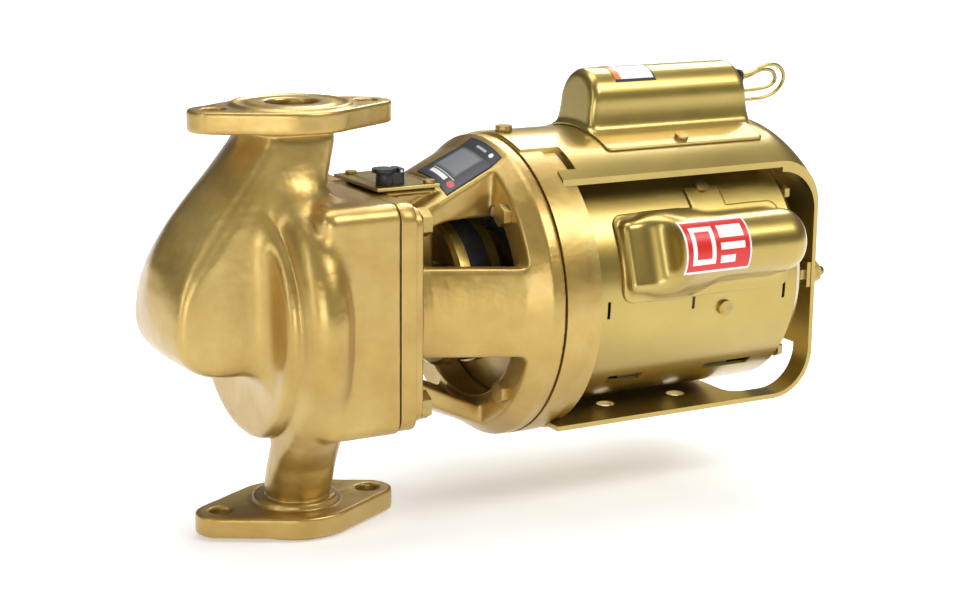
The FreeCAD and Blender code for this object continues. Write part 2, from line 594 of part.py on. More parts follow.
def impeller():
    bore = "shaft_radius"
    front = turned("front_shroud", [
        ("impeller_front", "eye_inner_radius"), ("impeller_front", "eye_collar_radius"),
        ("shroud_front - shroud_thick", "eye_collar_radius"),
        ("shroud_front - shroud_thick", "impeller_radius"),
        ("shroud_front", "impeller_radius"), ("shroud_front", "eye_inner_radius")])
    back = turned("back_shroud", [
        ("hub_front", bore), ("hub_front", "hub_radius - 2"), ("blade_back - 3", "hub_radius"),
        ("blade_back", "impeller_radius"), ("blade_back + shroud_thick", "impeller_radius"),
        ("blade_back + shroud_thick", "hub_radius"), ("hub_back", "hub_radius"), ("hub_back", bore)])
    blades = []
    outer, inner, curve = value("impeller_radius") - 0.2, value("blade_inner"), value("blade_curve")
    thick = value("blade_thick")
    root, tip = Vector(0, inner, 0), Vector(0, outer * math.cos(0.9), outer * math.sin(0.9))
    chord = (tip - root).Length
    sagitta = curve - math.sqrt(curve ** 2 - (chord / 2) ** 2)
    side = Vector(1, 0, 0).cross(tip - root).normalize()
    for step in range(6):
        lines = []
        for shift in (-thick / 2, thick / 2):
            start, end = root + side * shift, tip + side * shift
            middle = (start + end) * 0.5 - side * sagitta
            lines.append((start, middle, end))
        (start_a, middle_a, end_a), (start_b, middle_b, end_b) = lines
        wire = Part.Wire([Part.Arc(start_a, middle_a, end_a).toShape(),
                          Part.LineSegment(end_a, end_b).toShape(),
                          Part.Arc(end_b, middle_b, start_b).toShape(),
                          Part.LineSegment(start_b, start_a).toShape()])
        depth = value("blade_back - shroud_front") + 1.0
        blade = Part.Face(wire).extrude(Vector(depth, 0, 0))
        blade.translate(Vector(value("shroud_front") - 0.5, 0, 0))
        blade.rotate(Vector(), Vector(1, 0, 0), 60 * step)
        blades.append(feature("blade", blade))
    node("impeller", fuse("impeller_whole", front, back, *blades))


def wet_rotating_parts():
    front_end = "hub_front - nut_thick"
    nut = cut("nut_whole", hexagon("nut_hex", "nut_corner_radius", (front_end, "hub_front")),
              rod("nut_hole", "shaft_radius", (front_end + " - 1", "hub_front + 1")))
    node("impeller_nut", nut)
    shaft = rod("shaft_rod", "shaft_radius", ("shaft_front", "shaft_back"))
    flat = block("shaft_flat", ("pump_hub_front", "shaft_back + 1"), ("0 - 10", "10"),
                 ("shaft_radius - 0.8", "shaft_radius + 1"))
    node("pump_shaft", cut("shaft_cut", shaft, flat))
    node("seal_seat", ring("seat", "seat_bore - running_gap", "seat_inner", ("seat_front", "seat_back")))
    node("seal_head", ring("head", "seal_head_radius", "shaft_radius", ("seal_spring_back", "seal_head_back")))
    spiral = Part.makeHelix(2.9, value("seal_spring_back - seal_spring_front") - 2.2,
                            value("seal_spring_radius"))
    start = Vector(value("seal_spring_radius"), 0, 0)
    wire = Part.Wire([Part.makeCircle(value("seal_wire_radius"), start, Vector(0, 1, 0.05))])
    coil = Part.Wire(spiral).makePipeShell([wire], True, True)
    coil.rotate(Vector(), Vector(0, 1, 0), 90)
    coil.translate(Vector(value("seal_spring_front") + 1.1, 0, 0))
    node("seal_spring", feature("coil", coil))


# ---------------------------------------------------------------- bearing bracket

LID_SCREW_PLACES = [
    # the oil cup stands at the cover's fourth corner
    ("lid_screw_front", "lid_screw_side"), ("lid_screw_back", "lid_screw_side"),
    ("lid_screw_back", "0 - lid_screw_side"),
]


def bearing_bracket():
    flange_block = square_block("bracket_block", ("cover_back", "bracket_flange_back"), "bracket_flange_half")
    plate = rounded("bracket_plate", flange_block, "square_round", runs_along_shaft)
    barrel = rod("barrel", "barrel_radius", ("cover_back", "barrel_back"))
    cone = turned("cone", [
        ("cover_back", "cone_front_radius - arm_thick"), ("cover_back", "cone_front_radius"),
        ("cone_front", "cone_front_radius"), ("ring_front", "cone_back_radius"),
        ("ring_front", "cone_back_radius - arm_thick"), ("cone_front", "cone_front_radius - arm_thick")])
    windows = []
    for side, low, high in (("0 + ", "0 + arm_half", "90"), ("0 - ", "0 - 90", "0 - arm_half")):
        for across in (("top_arm_half", "90"), ("0 - 90", "0 - top_arm_half")):
            half = across if side == "0 + " else tuple(edge.replace("top_arm", "arm") for edge in across)
            windows.append(block("window_space", ("bracket_flange_back", "ring_front"), half, (low, high)))
    arms = cut("arms", cone, *windows)
    web_limit = turned("web_limit", [
        ("cone_front", "0"), ("cone_front", "cone_front_radius"), ("ring_front", "cone_back_radius"),
        ("ring_front", "0")])
    web = common("top_web", web_limit, block("top_web_block", ("box_back - 1", "ring_front"),
                                             ("0 - top_arm_half", "top_arm_half"), ("web_low", "90")))
    hoop = turned("hoop", [
        ("ring_front", "ring_bore"), ("ring_front", "cone_back_radius"),
        ("ring_nose_back", "ring_radius - 0.8"), ("ring_nose_back + 2", "ring_radius"),
        ("ring_face", "ring_radius"), ("ring_face", "ring_bore")])
    box = block("oil_box", ("box_front - 0.2", "box_back"), ("0 - box_half", "box_half"), ("0", "box_top"))
    rim = block("oil_rim", ("rim_front", "rim_back"), ("0 - rim_half", "rim_half"), ("rim_low", "box_top"))
    outside = fuse("bracket_outside", plate, barrel, hoop, box, rim, arms, web)
    room = block("oil_room", ("room_front", "box_back - box_wall"),
                 ("box_wall - box_half", "box_half - box_wall"), ("barrel_radius + 4", "box_top + 1"))
    well = block("oil_well", ("slinger_front - 1.5", "slinger_back + 1.5"), ("0 - 6", "6"),
                 ("0", "barrel_radius + 5"))
    lid_room = block("lid_room", ("lid_front - 1", "lid_back + 0.4"), ("0 - lid_half - 1", "lid_half + 1"),
                     ("box_top", "ring_radius"))
    hollows = [
        room, well, lid_room,
        rod("bearing_hole", "bearing_radius", ("cover_back - 1", "barrel_back + 1")),
        rod("slinger_room", "slinger_room_radius", ("slinger_front - 1.5", "slinger_back + 1.5")),
    ]
    for corner in four_corners("corner_bolt_offset"):
        hollows.append(rod("bracket_hole", "bolt_clearance_radius",
                           ("cover_back - 1", "bracket_flange_back + 1"), corner))
    for corner in four_corners("ring_bolt_offset"):
        hollows.append(rod("ring_hole", "ring_bolt_radius + running_gap",
                           ("ring_front - 6", "ring_face + 1"), corner))
    for across in LID_SCREW_PLACES:
        hollows.append(rod("lid_hole", "lid_screw_radius", ("lid_screw_low", "box_top + 1"), across, "z"))
    node("bearing_bracket", cut("bracket", outside, *hollows))


def bracket_parts():
    sleeve = ("bearing_radius - running_gap", "shaft_radius + running_gap")
    node("front_bearing", ring("front_sleeve", *sleeve, ("front_bearing_front", "front_bearing_back")))
    node("rear_bearing", ring("rear_sleeve", *sleeve, ("rear_bearing_front", "barrel_back")))
    node("oil_slinger", ring("slinger", "slinger_radius", "shaft_radius", ("slinger_front", "slinger_back")))
    cup_hole = rod("cup_hole", "cup_bore", ("box_top - 1", "lid_top + 1"), ("cup_x", "cup_y"), "z")
    screws, holes = [], []
    for across in LID_SCREW_PLACES:
        holes.append(rod("lid_screw_hole", "lid_screw_radius", ("box_top - 1", "lid_top + 1"), across, "z"))
        screws.append(fastener("lid_screw", "lid_screw_radius", ("lid_screw_low", "lid_top"),
                               "lid_screw_head_radius", ("lid_top", "lid_screw_head_top"), across, "z", rod))
    window = block("gasket_window", ("room_front", "box_back - box_wall"),
                   ("box_wall - box_half", "box_half - box_wall"), ("box_top - 1", "oil_gasket_top + 1"))
    gasket = block("oil_gasket_sheet", ("rim_front", "rim_back"), ("0 - rim_half", "rim_half"),
                   ("box_top", "oil_gasket_top"))
    node("reservoir_gasket", cut("oil_gasket", gasket, window, *holes))
    lid = block("oil_lid_sheet", ("lid_front", "lid_back"), ("0 - lid_half", "lid_half"),
                ("oil_gasket_top", "lid_top"))
    node("reservoir_cover", cut("oil_lid", lid, cup_hole, *holes))
    node("reservoir_screws", *screws)


def oil_cup():
    across = ("cup_x", "cup_y")
    tube = rod("cup_tube", "cup_radius", ("lid_top", "cup_top"), across, "z")
    ears = [block("cup_ear", ("cup_x", "cup_ear_back"), (low, high), ("lid_top", "cup_pin_z + 1.3"))
            for low, high in (("cup_y - 4.4", "cup_y - 3.0"), ("cup_y + 3.0", "cup_y + 4.4"))]
    ear_trim = block("ear_trim", ("cup_x - 6", "cup_ear_front"), ("cup_y - 6", "cup_y + 6"),
                     ("cup_top", "cup_top + 5"))
    bore = rod("cup_tube_bore", "cup_bore", ("lid_top - 1", "cup_top + 1"), across, "z")
    pin_hole = rod("cup_pin_hole", "cup_pin_radius", ("cup_y - 6", "cup_y + 6"),
                   ("cup_pin_x", "cup_pin_z"), "y")
    node("oil_cup_body", cut("cup_body", fuse("cup_raw", tube, *ears), ear_trim, bore, pin_hole))
    node("oil_cup_pin", rod("cup_pin", "cup_pin_radius", ("cup_y - 4.8", "cup_y + 4.8"),
                            ("cup_pin_x", "cup_pin_z"), "y"))
    cap = rod("cap_disc", "cup_lid_radius", ("cup_top + 0.1", "cup_lid_top"), ("cup_x - 1.2", "cup_y"), "z")
    tongue = block("cap_tongue", ("cup_x", "cup_pin_x + 1.4"), ("cup_y - 2.8", "cup_y + 2.8"),
                   ("cup_top + 0.1", "cup_lid_top"))
    cap_trim = [block("cap_trim", ("cup_ear_front - 0.6", "cup_ear_back + 2"), span,
                      ("cup_top", "cup_lid_top + 1"))
                for span in (("cup_y - 8", "cup_y - 2.8"), ("cup_y + 2.8", "cup_y + 8"))]
    cap_hole = rod("cap_pin_hole", "cup_pin_radius + running_gap", ("cup_y - 6", "cup_y + 6"),
                   ("cup_pin_x", "cup_pin_z"), "y")
    node("oil_cup_lid", cut("cap", fuse("cap_raw", cap, tongue), cap_hole, *cap_trim))


def structural_bolts():
    node("casing_bolts", *[
        fastener("casing_bolt", "casing_bolt_radius", ("stud_hole_front + 1", "bracket_flange_back"),
                 "casing_bolt_corner_radius", ("bracket_flange_back", "casing_bolt_head_back"), corner)
        for corner in four_corners("corner_bolt_offset")])
    node("ring_bolts", *[
        fastener("ring_bolt", "ring_bolt_radius", ("ring_front", "ring_bolt_back"),
                 "ring_bolt_corner_radius", ("ring_bolt_head_front", "ring_front"), corner)
        for corner in four_corners("ring_bolt_offset")])


def nameplate():
    """Thin blank plate wrapped on the cone of the top arm and the ring's nose."""
    slope = value("cone_back_radius - cone_front_radius") / value("ring_front - cone_front")
    run = value("nameplate_front - cone_front")
    front = f"cone_front_radius + {round(run * slope, 3)} + plate_gap"
    back = "cone_back_radius + nameplate_nose_rise + plate_gap"
    strip = turned("nameplate_strip", [
        ("nameplate_front", front), ("nameplate_front", front + " + nameplate_thick"),
        ("ring_front", "cone_back_radius + plate_gap + nameplate_thick"),
        ("nameplate_back", back + " + nameplate_thick"), ("nameplate_back", back),
        ("ring_front", "cone_back_radius + plate_gap")])
    node("nameplate", common("nameplate_sheet", strip, block(
        "nameplate_reach", ("nameplate_front - 1", "nameplate_back + 1"),
        ("0 - nameplate_near", "0 - nameplate_far"), ("0", "90"))))


# ---------------------------------------------------------------- coupling

def coupling():
    pump_hub = turned("pump_hub", [
        ("pump_hub_front", "shaft_radius"), ("pump_hub_front", "coupler_hub_radius"),
        ("pump_hub_flange + coupler_dish_depth", "coupler_hub_radius"),
        ("pump_hub_flange + coupler_dish_depth", "coupler_dish_radius"),
        ("pump_hub_flange", "coupler_dish_radius"), ("pump_hub_flange", "coupler_radius - 2"),
        ("pump_hub_flange + 2", "coupler_radius"), ("insert_front", "coupler_radius"),
        ("insert_front", "shaft_radius")])
    pump_hole = rod("pump_set_hole", "set_screw_radius", ("0", "20"), ("pump_hub_front + 3.5", "0"), "z")
    node("coupler_pump_hub", cut("pump_hub_whole", pump_hub, pump_hole))
    node("coupler_insert", ring("insert", "insert_radius", "motor_shaft_radius + 1",
                                ("insert_front + running_gap", "insert_back")))
    motor_hub = turned("motor_hub", [
        ("insert_back", "motor_shaft_radius"), ("insert_back", "coupler_radius"),
        ("motor_hub_back - 5", "coupler_radius"), ("motor_hub_back - 3", "coupler_radius - 2"),
        ("motor_hub_back - 3", "coupler_dish_radius - 8"), ("motor_hub_back - 5", "coupler_hub_radius"),
        ("motor_hub_back", "coupler_hub_radius"), ("motor_hub_back", "motor_shaft_radius")])
    motor_hole = rod("motor_set_hole", "set_screw_radius", ("0", "20"), ("motor_hub_back - 2.6", "0"), "z")
    node("coupler_motor_hub", cut("motor_hub_whole", motor_hub, motor_hole))
    node("coupler_pump_screw", rod("pump_set_screw", "set_screw_radius - 0.05",
                                   ("shaft_radius - 0.75", "set_screw_top"),
                                   ("pump_hub_front + 3.5", "0"), "z"))
    node("coupler_motor_screw", rod("motor_set_screw", "set_screw_radius - 0.05",
                                    ("motor_shaft_radius + 0.02", "set_screw_top"),
                                    ("motor_hub_back - 2.6", "0"), "z"))


# ---------------------------------------------------------------- motor

def mounting_ring():
    hoop = turned("mount_hoop", [
        ("ring_face", "mount_web_bore"), ("ring_face", "ring_radius"), ("mount_ring_step", "ring_radius"),
        ("mount_ring_step", "strap_seat_radius"), ("mount_ring_back", "strap_seat_radius"),
        ("mount_ring_back", "mount_ring_bore"), ("mount_web_back", "mount_ring_bore"),
        ("mount_web_back", "mount_web_bore")])
    recess_block = block("tongue_recess_block", ("tongue_front - 0.2", "mount_ring_step + 1"),
                         ("0 - tongue_half - 0.3", "tongue_half + 0.3"), ("60", "90"))
    recess = cut("tongue_recess", recess_block,
                 rod("recess_keep", "strap_seat_radius", ("ring_face - 1", "mount_ring_back")))
    plate_seat = block("plate_seat", ("plate_front - 0.2", "mount_ring_back + 1"),
                       ("0 - plate_half - 2", "plate_half + 2"), ("0 - 90", "0 - plate_seat_height"))
    holes = [rod("mount_bolt_hole", "ring_bolt_radius + running_gap", ("ring_face - 1", "ring_bolt_back + 20"),
                 corner) for corner in four_corners("ring_bolt_offset")]
    holes.append(rod("tongue_screw_hole", "yoke_screw_radius", ("50", "90"), ("tongue_screw_x", "0"), "z"))
    holes += [rod("base_screw_hole", "yoke_screw_radius", ("0 - 90", "0"), ("base_screw_x", side), "z")
              for side in ("0 - base_screw_side", "base_screw_side")]
    node("mounting_ring", cut("mount_whole", hoop, recess, plate_seat, *holes))
    node("front_mount_rubber", ring("front_rubber", "mount_web_bore - running_gap",
                                    "front_hub_radius + running_gap", ("ring_face", "rubber_back")))


def end_bells():
    spigot = "shell_radius - shell_wall - running_gap"
    front = turned("front_bell", [
        ("front_hub_front", "motor_shaft_radius + 0.6"), ("front_hub_front", "front_hub_radius"),
        ("bell_front", "front_hub_radius"), ("bell_front", "shell_radius"), ("shell_front", "shell_radius"),
        ("shell_front", spigot), ("shell_front + bell_spigot", spigot),
        ("shell_front + bell_spigot", spigot + " - bell_wall"), ("shell_front", spigot + " - bell_wall"),
        ("shell_front", "motor_bearing_radius + 4"), ("front_bearing_end", "motor_bearing_radius"),
        ("front_bearing_start", "motor_bearing_radius"), ("front_bearing_start", "motor_shaft_radius + 0.6")])
    holes = [rod("front_bell_hole", "through_bolt_radius", ("bell_front - 1", "shell_front + 5"), corner)
             for corner in four_corners("through_bolt_offset")]
    node("front_end_bell", cut("front_bell_whole", front, *holes))
    rear = turned("rear_bell", [
        ("shell_back - bell_spigot", spigot + " - bell_wall"), ("shell_back - bell_spigot", spigot),
        ("shell_back", spigot), ("shell_back", "shell_radius"), ("rear_bell_back", "shell_radius - 3"),
        ("rear_bell_back", "rear_hub_radius"), ("rear_hub_back", "rear_hub_radius"),
        ("rear_hub_back", "motor_bearing_radius - 4"), ("rear_bearing_end", "motor_bearing_radius - 4"),
        ("rear_bearing_end", "motor_bearing_radius"), ("rear_bearing_start", "motor_bearing_radius"),
        ("rear_bearing_start - 1.5", "motor_bearing_radius + 4"), ("shell_back", "motor_bearing_radius + 4"),
        ("shell_back", spigot + " - bell_wall")])
    holes = [rod("rear_bell_hole", "through_bolt_radius", ("shell_back - 5", "rear_bell_back + 1"), corner)
             for corner in four_corners("through_bolt_offset")]
    node("rear_end_bell", cut("rear_bell_whole", rear, *holes))
    bearing = ("motor_bearing_radius - running_gap", "motor_shaft_radius + running_gap")
    node("motor_front_bearing",
         ring("motor_front_race", *bearing, ("front_bearing_start", "front_bearing_end")))
    node("motor_rear_bearing", ring("motor_rear_race", *bearing, ("rear_bearing_start", "rear_bearing_end")))


def tilted(name, piece, angle):
    """Turn a piece about the shaft axis."""
    whole = doc.addObject("Part::Compound", name)
    whole.Links = [piece]
    whole.Placement.Rotation = FreeCAD.Rotation(Vector(1, 0, 0), angle)
    return whole


def motor_shell():
    tube = ring("shell_tube", "shell_radius", "shell_radius - shell_wall", ("shell_front", "shell_back"))
    openings = []
    for low_side in (value("vent_tilt"), value("180 - vent_tilt")):
        for span in (("vent_front", "vent_front_end"), ("vent_back", "vent_back_end")):
            vent = block("vent", span, ("0 - 1 - shell_radius", "0"), ("0 - vent_half", "vent_half"))
            openings.append(tilted("vent_turned", vent, low_side))
    for x in ("slot_front", "slot_middle", "slot_back"):
        openings.append(block("slot", (x + " - 0.9", x + " + 0.9"), ("0 - 70", "0 - 50"), ("0 - 9", "0")))
    hole = rod("ground_hole", "ground_screw_radius", ("0 - 80", "0 - 50"), ("ground_screw_x", "0"), "y")
    openings.append(tilted("ground_hole_turned", hole, value("ground_screw_tilt")))
    cover_hole = rod("cover_hole_rod", "cover_screw_radius", ("50", "80"), ("side_screw_x", "0"), "z")
    openings.append(tilted("cover_hole_turned", cover_hole, value("side_tilt + side_screw_angle")))
    node("motor_shell", cut("shell_whole", tube, *openings))
    screw = fastener("ground", "ground_screw_radius - 0.05", ("0 - shell_radius", "1.4 - shell_radius"),
                     "ground_screw_head_radius", ("0 - 1.8 - shell_radius", "0 - shell_radius"),
                     ("ground_screw_x", "0"), "y", rod)
    node("ground_screw", screw, tilt="ground_screw_tilt")


def stator_and_rotor():
    core_reach = ("stator_front - 1", "stator_back + 1")
    channels = [rod("stator_channel", "through_bolt_radius + 0.4", core_reach, corner)
                for corner in four_corners("through_bolt_offset")]
    stack = ring("stack", "stator_radius", "stator_bore", ("stator_front", "stator_back"))
    node("stator_core", cut("stack_whole", stack, *channels))
    turns = ("winding_outer", "winding_inner")
    node("stator_windings", ring("front_turns", *turns, ("winding_front", "stator_front")),
         ring("back_turns", *turns, ("stator_back", "winding_back")))
    node("rotor_core", ring("rotor", "rotor_radius", "motor_shaft_radius", ("rotor_front", "rotor_back")))
    node("motor_shaft", rod("motor_rod", "motor_shaft_radius", ("motor_shaft_front", "motor_shaft_back")))
    hub = ring("fan_hub", "fan_hub_radius", "motor_shaft_radius", ("fan_front", "fan_hub_back"))
    disc = ring("fan_disc", "fan_radius", "fan_hub_radius - 1", ("fan_front", "fan_front + 1.5"))
    blades = []
    for step in range(12):
        blade = block("fan_blade", ("fan_front", "fan_hub_back - 0.5"), ("0 - 0.8", "0.8"),
                      ("fan_hub_radius - 1", "fan_radius - 1"))
        blades.append(tilted("fan_blade_turned", blade, 30 * step))
    node("cooling_fan", fuse("fan_whole", hub, disc, *blades))
    node("start_governor", turned("governor", [
        ("governor_front", "motor_shaft_radius"), ("governor_front", "governor_radius"),
        ("governor_front + 3", "governor_radius"), ("governor_back - 3", "fan_hub_radius"),
        ("governor_back", "fan_hub_radius"), ("governor_back", "motor_shaft_radius")]))
    node("start_switch", block("switch_board", ("switch_front", "switch_back"),
                               ("0 - switch_half", "switch_half"), ("switch_low", "switch_high")))
    node("through_bolts", *[
        fastener("through_bolt", "through_bolt_radius - running_gap", ("through_bolt_front", "rear_bell_back"),
                 "through_bolt_corner_radius", ("rear_bell_back", "through_bolt_head_back"), corner)
        for corner in four_corners("through_bolt_offset")])


# ---------------------------------------------------------------- cradle

def motor_yoke():
    inner = "strap_radius - strap_thick"
    crown_span = ("tongue_front", "strap_bend_start")
    crown = common("strap_crown", ring("strap_tube", "strap_radius", inner, crown_span),
                   block("strap_reach", crown_span, ("0 - strap_half", "strap_half"), ("0", "strap_radius")))
    trims = []
    for side in ("0 - ", "0 + "):
        spans = [("strap_front", "tongue_half", "tab_inner"), ("tab_front", "tab_inner", "strap_half + 1")]
        for back, near, far in spans:
            edges = (side + near, side + far)
            if side == "0 - ":
                edges = (side + far.replace("+", "-"), side + near)
            trims.append(block("strap_trim", ("tongue_front - 1", back), edges, ("40", "90")))
    band_top = rod("band_top", "strap_radius", ("strap_bend_start + strap_bend_radius - strap_thick",
                                               "strap_bend_start + strap_bend_radius"),
                   ("0", "0 - strap_bend_radius"))
    bend_height = "0 - plate_top - strap_thick + strap_bend_radius"
    band = common("band", band_top, block("band_reach", ("strap_bend_start", "strap_bend_start + 30"),
                                          ("0 - strap_half", "strap_half"), (bend_height, "80")))
    low_tube = ring("low_bend_tube", "strap_bend_radius", "strap_bend_radius - strap_thick",
                    ("0 - strap_half", "strap_half"), ("strap_bend_start", bend_height), "y")
    low_bend = common("low_bend", low_tube,
                      block("low_bend_reach", ("strap_bend_start", "strap_bend_start + 30"),
                            ("0 - strap_half - 1", "strap_half + 1"), ("0 - 90", bend_height)))
    plate = block("base_plate", ("plate_front", "strap_bend_start"), ("0 - strap_half", "strap_half"),
                  ("0 - plate_top - strap_thick", "0 - plate_top"))
    window = rounded("window", block("window_block", ("window_front", "strap_bend_start + 40"),
                                     ("0 - window_half", "window_half"), ("0 - 90", "window_top")),
                     "window_round", lambda edge: edge.BoundBox.ZLength > 10)
    holes = [
        rod("band_hole", "band_hole_radius", ("strap_bend_start", "strap_bend_start + 30")),
        rod("clamp_hole", "clamp_screw_radius + 0.1", ("strap_bend_start", "strap_bend_start + 30"),
            ("clamp_screw_y", "clamp_screw_z")),
        rod("tongue_hole", "yoke_screw_radius", ("50", "90"), ("tongue_screw_x", "0"), "z"),
    ]
    for side in ("0 - ", "0 + "):
        holes.append(rod("base_screw_clearance", "yoke_screw_radius", ("0 - 90", "0"),
                         ("base_screw_x", side + "base_screw_side"), "z"))
        for x in ("base_hole_front", "base_hole_back"):
            holes.append(rod("base_hole", "base_hole_radius", ("0 - 90", "0"),
                             (x, side + "base_hole_side"), "z"))
    for angle in (0 - value("top_screw_angle"), value("top_screw_angle")):
        hole = rod("skirt_hole", "cover_screw_radius", ("70", "90"), ("top_screw_x", "0"), "z")
        holes.append(tilted("skirt_hole_turned", hole, angle))
    strap = fuse("strap", crown, strap_bend(), band, low_bend, plate)
    node("motor_yoke", cut("yoke", strap, window, *trims, *holes))


def yoke_fasteners():
    top = fastener("tongue_screw", "yoke_screw_radius - running_gap", ("66", "strap_radius"),
                   "yoke_screw_head_radius", ("strap_radius", "strap_radius + yoke_screw_head_rise"),
                   ("tongue_screw_x", "0"), "z", rod)
    low_face = "0 - plate_top - strap_thick"
    low = [fastener("base_screw", "yoke_screw_radius - running_gap", (low_face, "0 - 61"),
                    "yoke_screw_head_radius", (low_face + " - 2.5", low_face),
                    ("base_screw_x", side), "z", rod)
           for side in ("0 - base_screw_side", "base_screw_side")]
    node("yoke_screws", top, *low)
    band_face = "strap_bend_start + strap_bend_radius"
    band_inside = band_face + " - strap_thick"
    collar = turned("clamp_collar", [
        ("rear_rubber_front", "rear_rubber_radius"), ("rear_rubber_front", "clamp_collar_radius"),
        ("clamp_flange_front", "clamp_collar_radius"), ("clamp_flange_front", "clamp_flange_radius"),
        (band_inside, "clamp_flange_radius"), (band_inside, "rear_rubber_radius")])
    ear = block("clamp_ear", ("clamp_flange_front", band_inside),
                ("clamp_screw_y - 6", "0 - clamp_collar_radius - 2"),
                ("clamp_screw_z - 7", "clamp_screw_z + 7"))
    hole = rod("ear_hole", "clamp_screw_radius + 0.1", ("clamp_flange_front - 1", band_face),
               ("clamp_screw_y", "clamp_screw_z"))
    node("rear_clamp", cut("clamp", fuse("clamp_raw", collar, ear), hole))
    node("rear_mount_rubber", ring("rear_rubber", "rear_rubber_radius - running_gap",
                                   "rear_hub_radius + running_gap", ("rear_rubber_front", "rear_rubber_back")))
    place_at = ("clamp_screw_y", "clamp_screw_z")
    node("clamp_screw",
         fastener("clamp_bolt", "clamp_screw_radius", ("clamp_flange_front", "clamp_screw_back"),
                  "clamp_head_corner_radius", ("clamp_head_front", "clamp_flange_front"), place_at))
    nut = hexagon("clamp_nut_hex", "clamp_nut_corner_radius",
                  (band_face, band_face + " + clamp_nut_thick"), place_at)
    nut_hole = rod("clamp_nut_hole", "clamp_screw_radius", (band_face + " - 1", band_face + " + 9"), place_at)
    node("clamp_nut", cut("clamp_nut_whole", nut, nut_hole))


# ---------------------------------------------------------------- capacitor covers

def arched(name, span, half, top, outline):
    """Straight-sided solid with a round top, trimmed to an upright outline."""
    crown = rod(name + "_crown", half, span, ("0", f"{top} - ({half})"))
    walls = block(name + "_walls", span, (f"0 - ({half})", half), ("50", f"{top} - ({half})"))
    return common(name, fuse(name + "_long", crown, walls),
                  slab(name + "_outline", outline, "cover_slab_width"))


def cover_shell(name, seat, skirt, skirt_half, skirt_span, body, outline, inner_outline):
    """Pressed cover: a hollow arched body on a curved skirt."""
    span, half, top = body
    skirt_ring = common(name + "_skirt", ring(name + "_tube", skirt, seat, skirt_span),
                        block(name + "_reach", skirt_span, ("0 - " + skirt_half, skirt_half), ("0", "100")))
    outer = cut(name + "_outer", arched(name + "_body", span, half, top, outline),
                rod(name + "_seat", seat, ("100", "300")))
    inner = arched(name + "_room", (span[0] + " + cover_sheet", span[1] + " - cover_sheet"),
                   half + " - cover_sheet", top + " - cover_sheet", inner_outline)
    return cut(name, fuse(name + "_raw", skirt_ring, outer), inner)


def cover_screws(name, seat, depth, stations, angles, tilt=None):
    screws = []
    for x, angle in zip(stations, angles):
        screw = fastener(name + "_one", "cover_screw_radius - running_gap", (seat + " - " + depth, seat),
                         "cover_screw_head_radius", (seat, seat + " + cover_screw_head_rise"),
                         (x, "0"), "z", rod)
        screws.append(tilted(name + "_turned", screw, angle))
    node(name, *screws, tilt=tilt)


def top_capacitor():
    span = ("top_cover_front", "top_cover_back")
    inside = (span[0] + " + cover_sheet", span[1] + " - cover_sheet")
    outline, inner = (
        [(ends[0], "50"), (ends[0], "top_cover_top + 1"), (ends[1], "top_cover_top + 1"), (ends[1], "50")]
        for ends in (span, inside))
    shell = cover_shell("start_cover", "strap_radius + cover_gap", "skirt_radius", "skirt_half",
                        ("skirt_front", "skirt_back"), (span, "top_cover_half", "top_cover_top"),
                        outline, inner)
    angles = (0 - value("top_screw_angle"), value("top_screw_angle"))
    holes = [tilted("start_cover_hole", rod("start_cover_hole_rod", "cover_screw_radius", ("70", "90"),
                                            ("top_screw_x", "0"), "z"), angle) for angle in angles]
    node("start_capacitor_cover", cut("start_cover_whole", shell, *holes))
    cover_screws("start_cover_screws", "skirt_radius", "top_screw_depth",
                 ("top_screw_x", "top_screw_x"), angles)
    node("start_capacitor", rod("start_can", "capacitor_radius", ("top_capacitor_front", "top_capacitor_back"),
                                ("0", "top_capacitor_height")))
    axis = ("0", "top_cover_top - top_cover_half")
    label = common("label", ring("label_ring", "top_cover_half + label_thick", "top_cover_half",
                                 ("label_front", "label_back"), axis),
                   block("label_reach", ("label_front", "label_back"),
                         ("0 - label_low_side", "0 - label_high_side"),
                         ("top_cover_top - top_cover_half", "top_cover_top + 1")))
    node("capacitor_label", label)


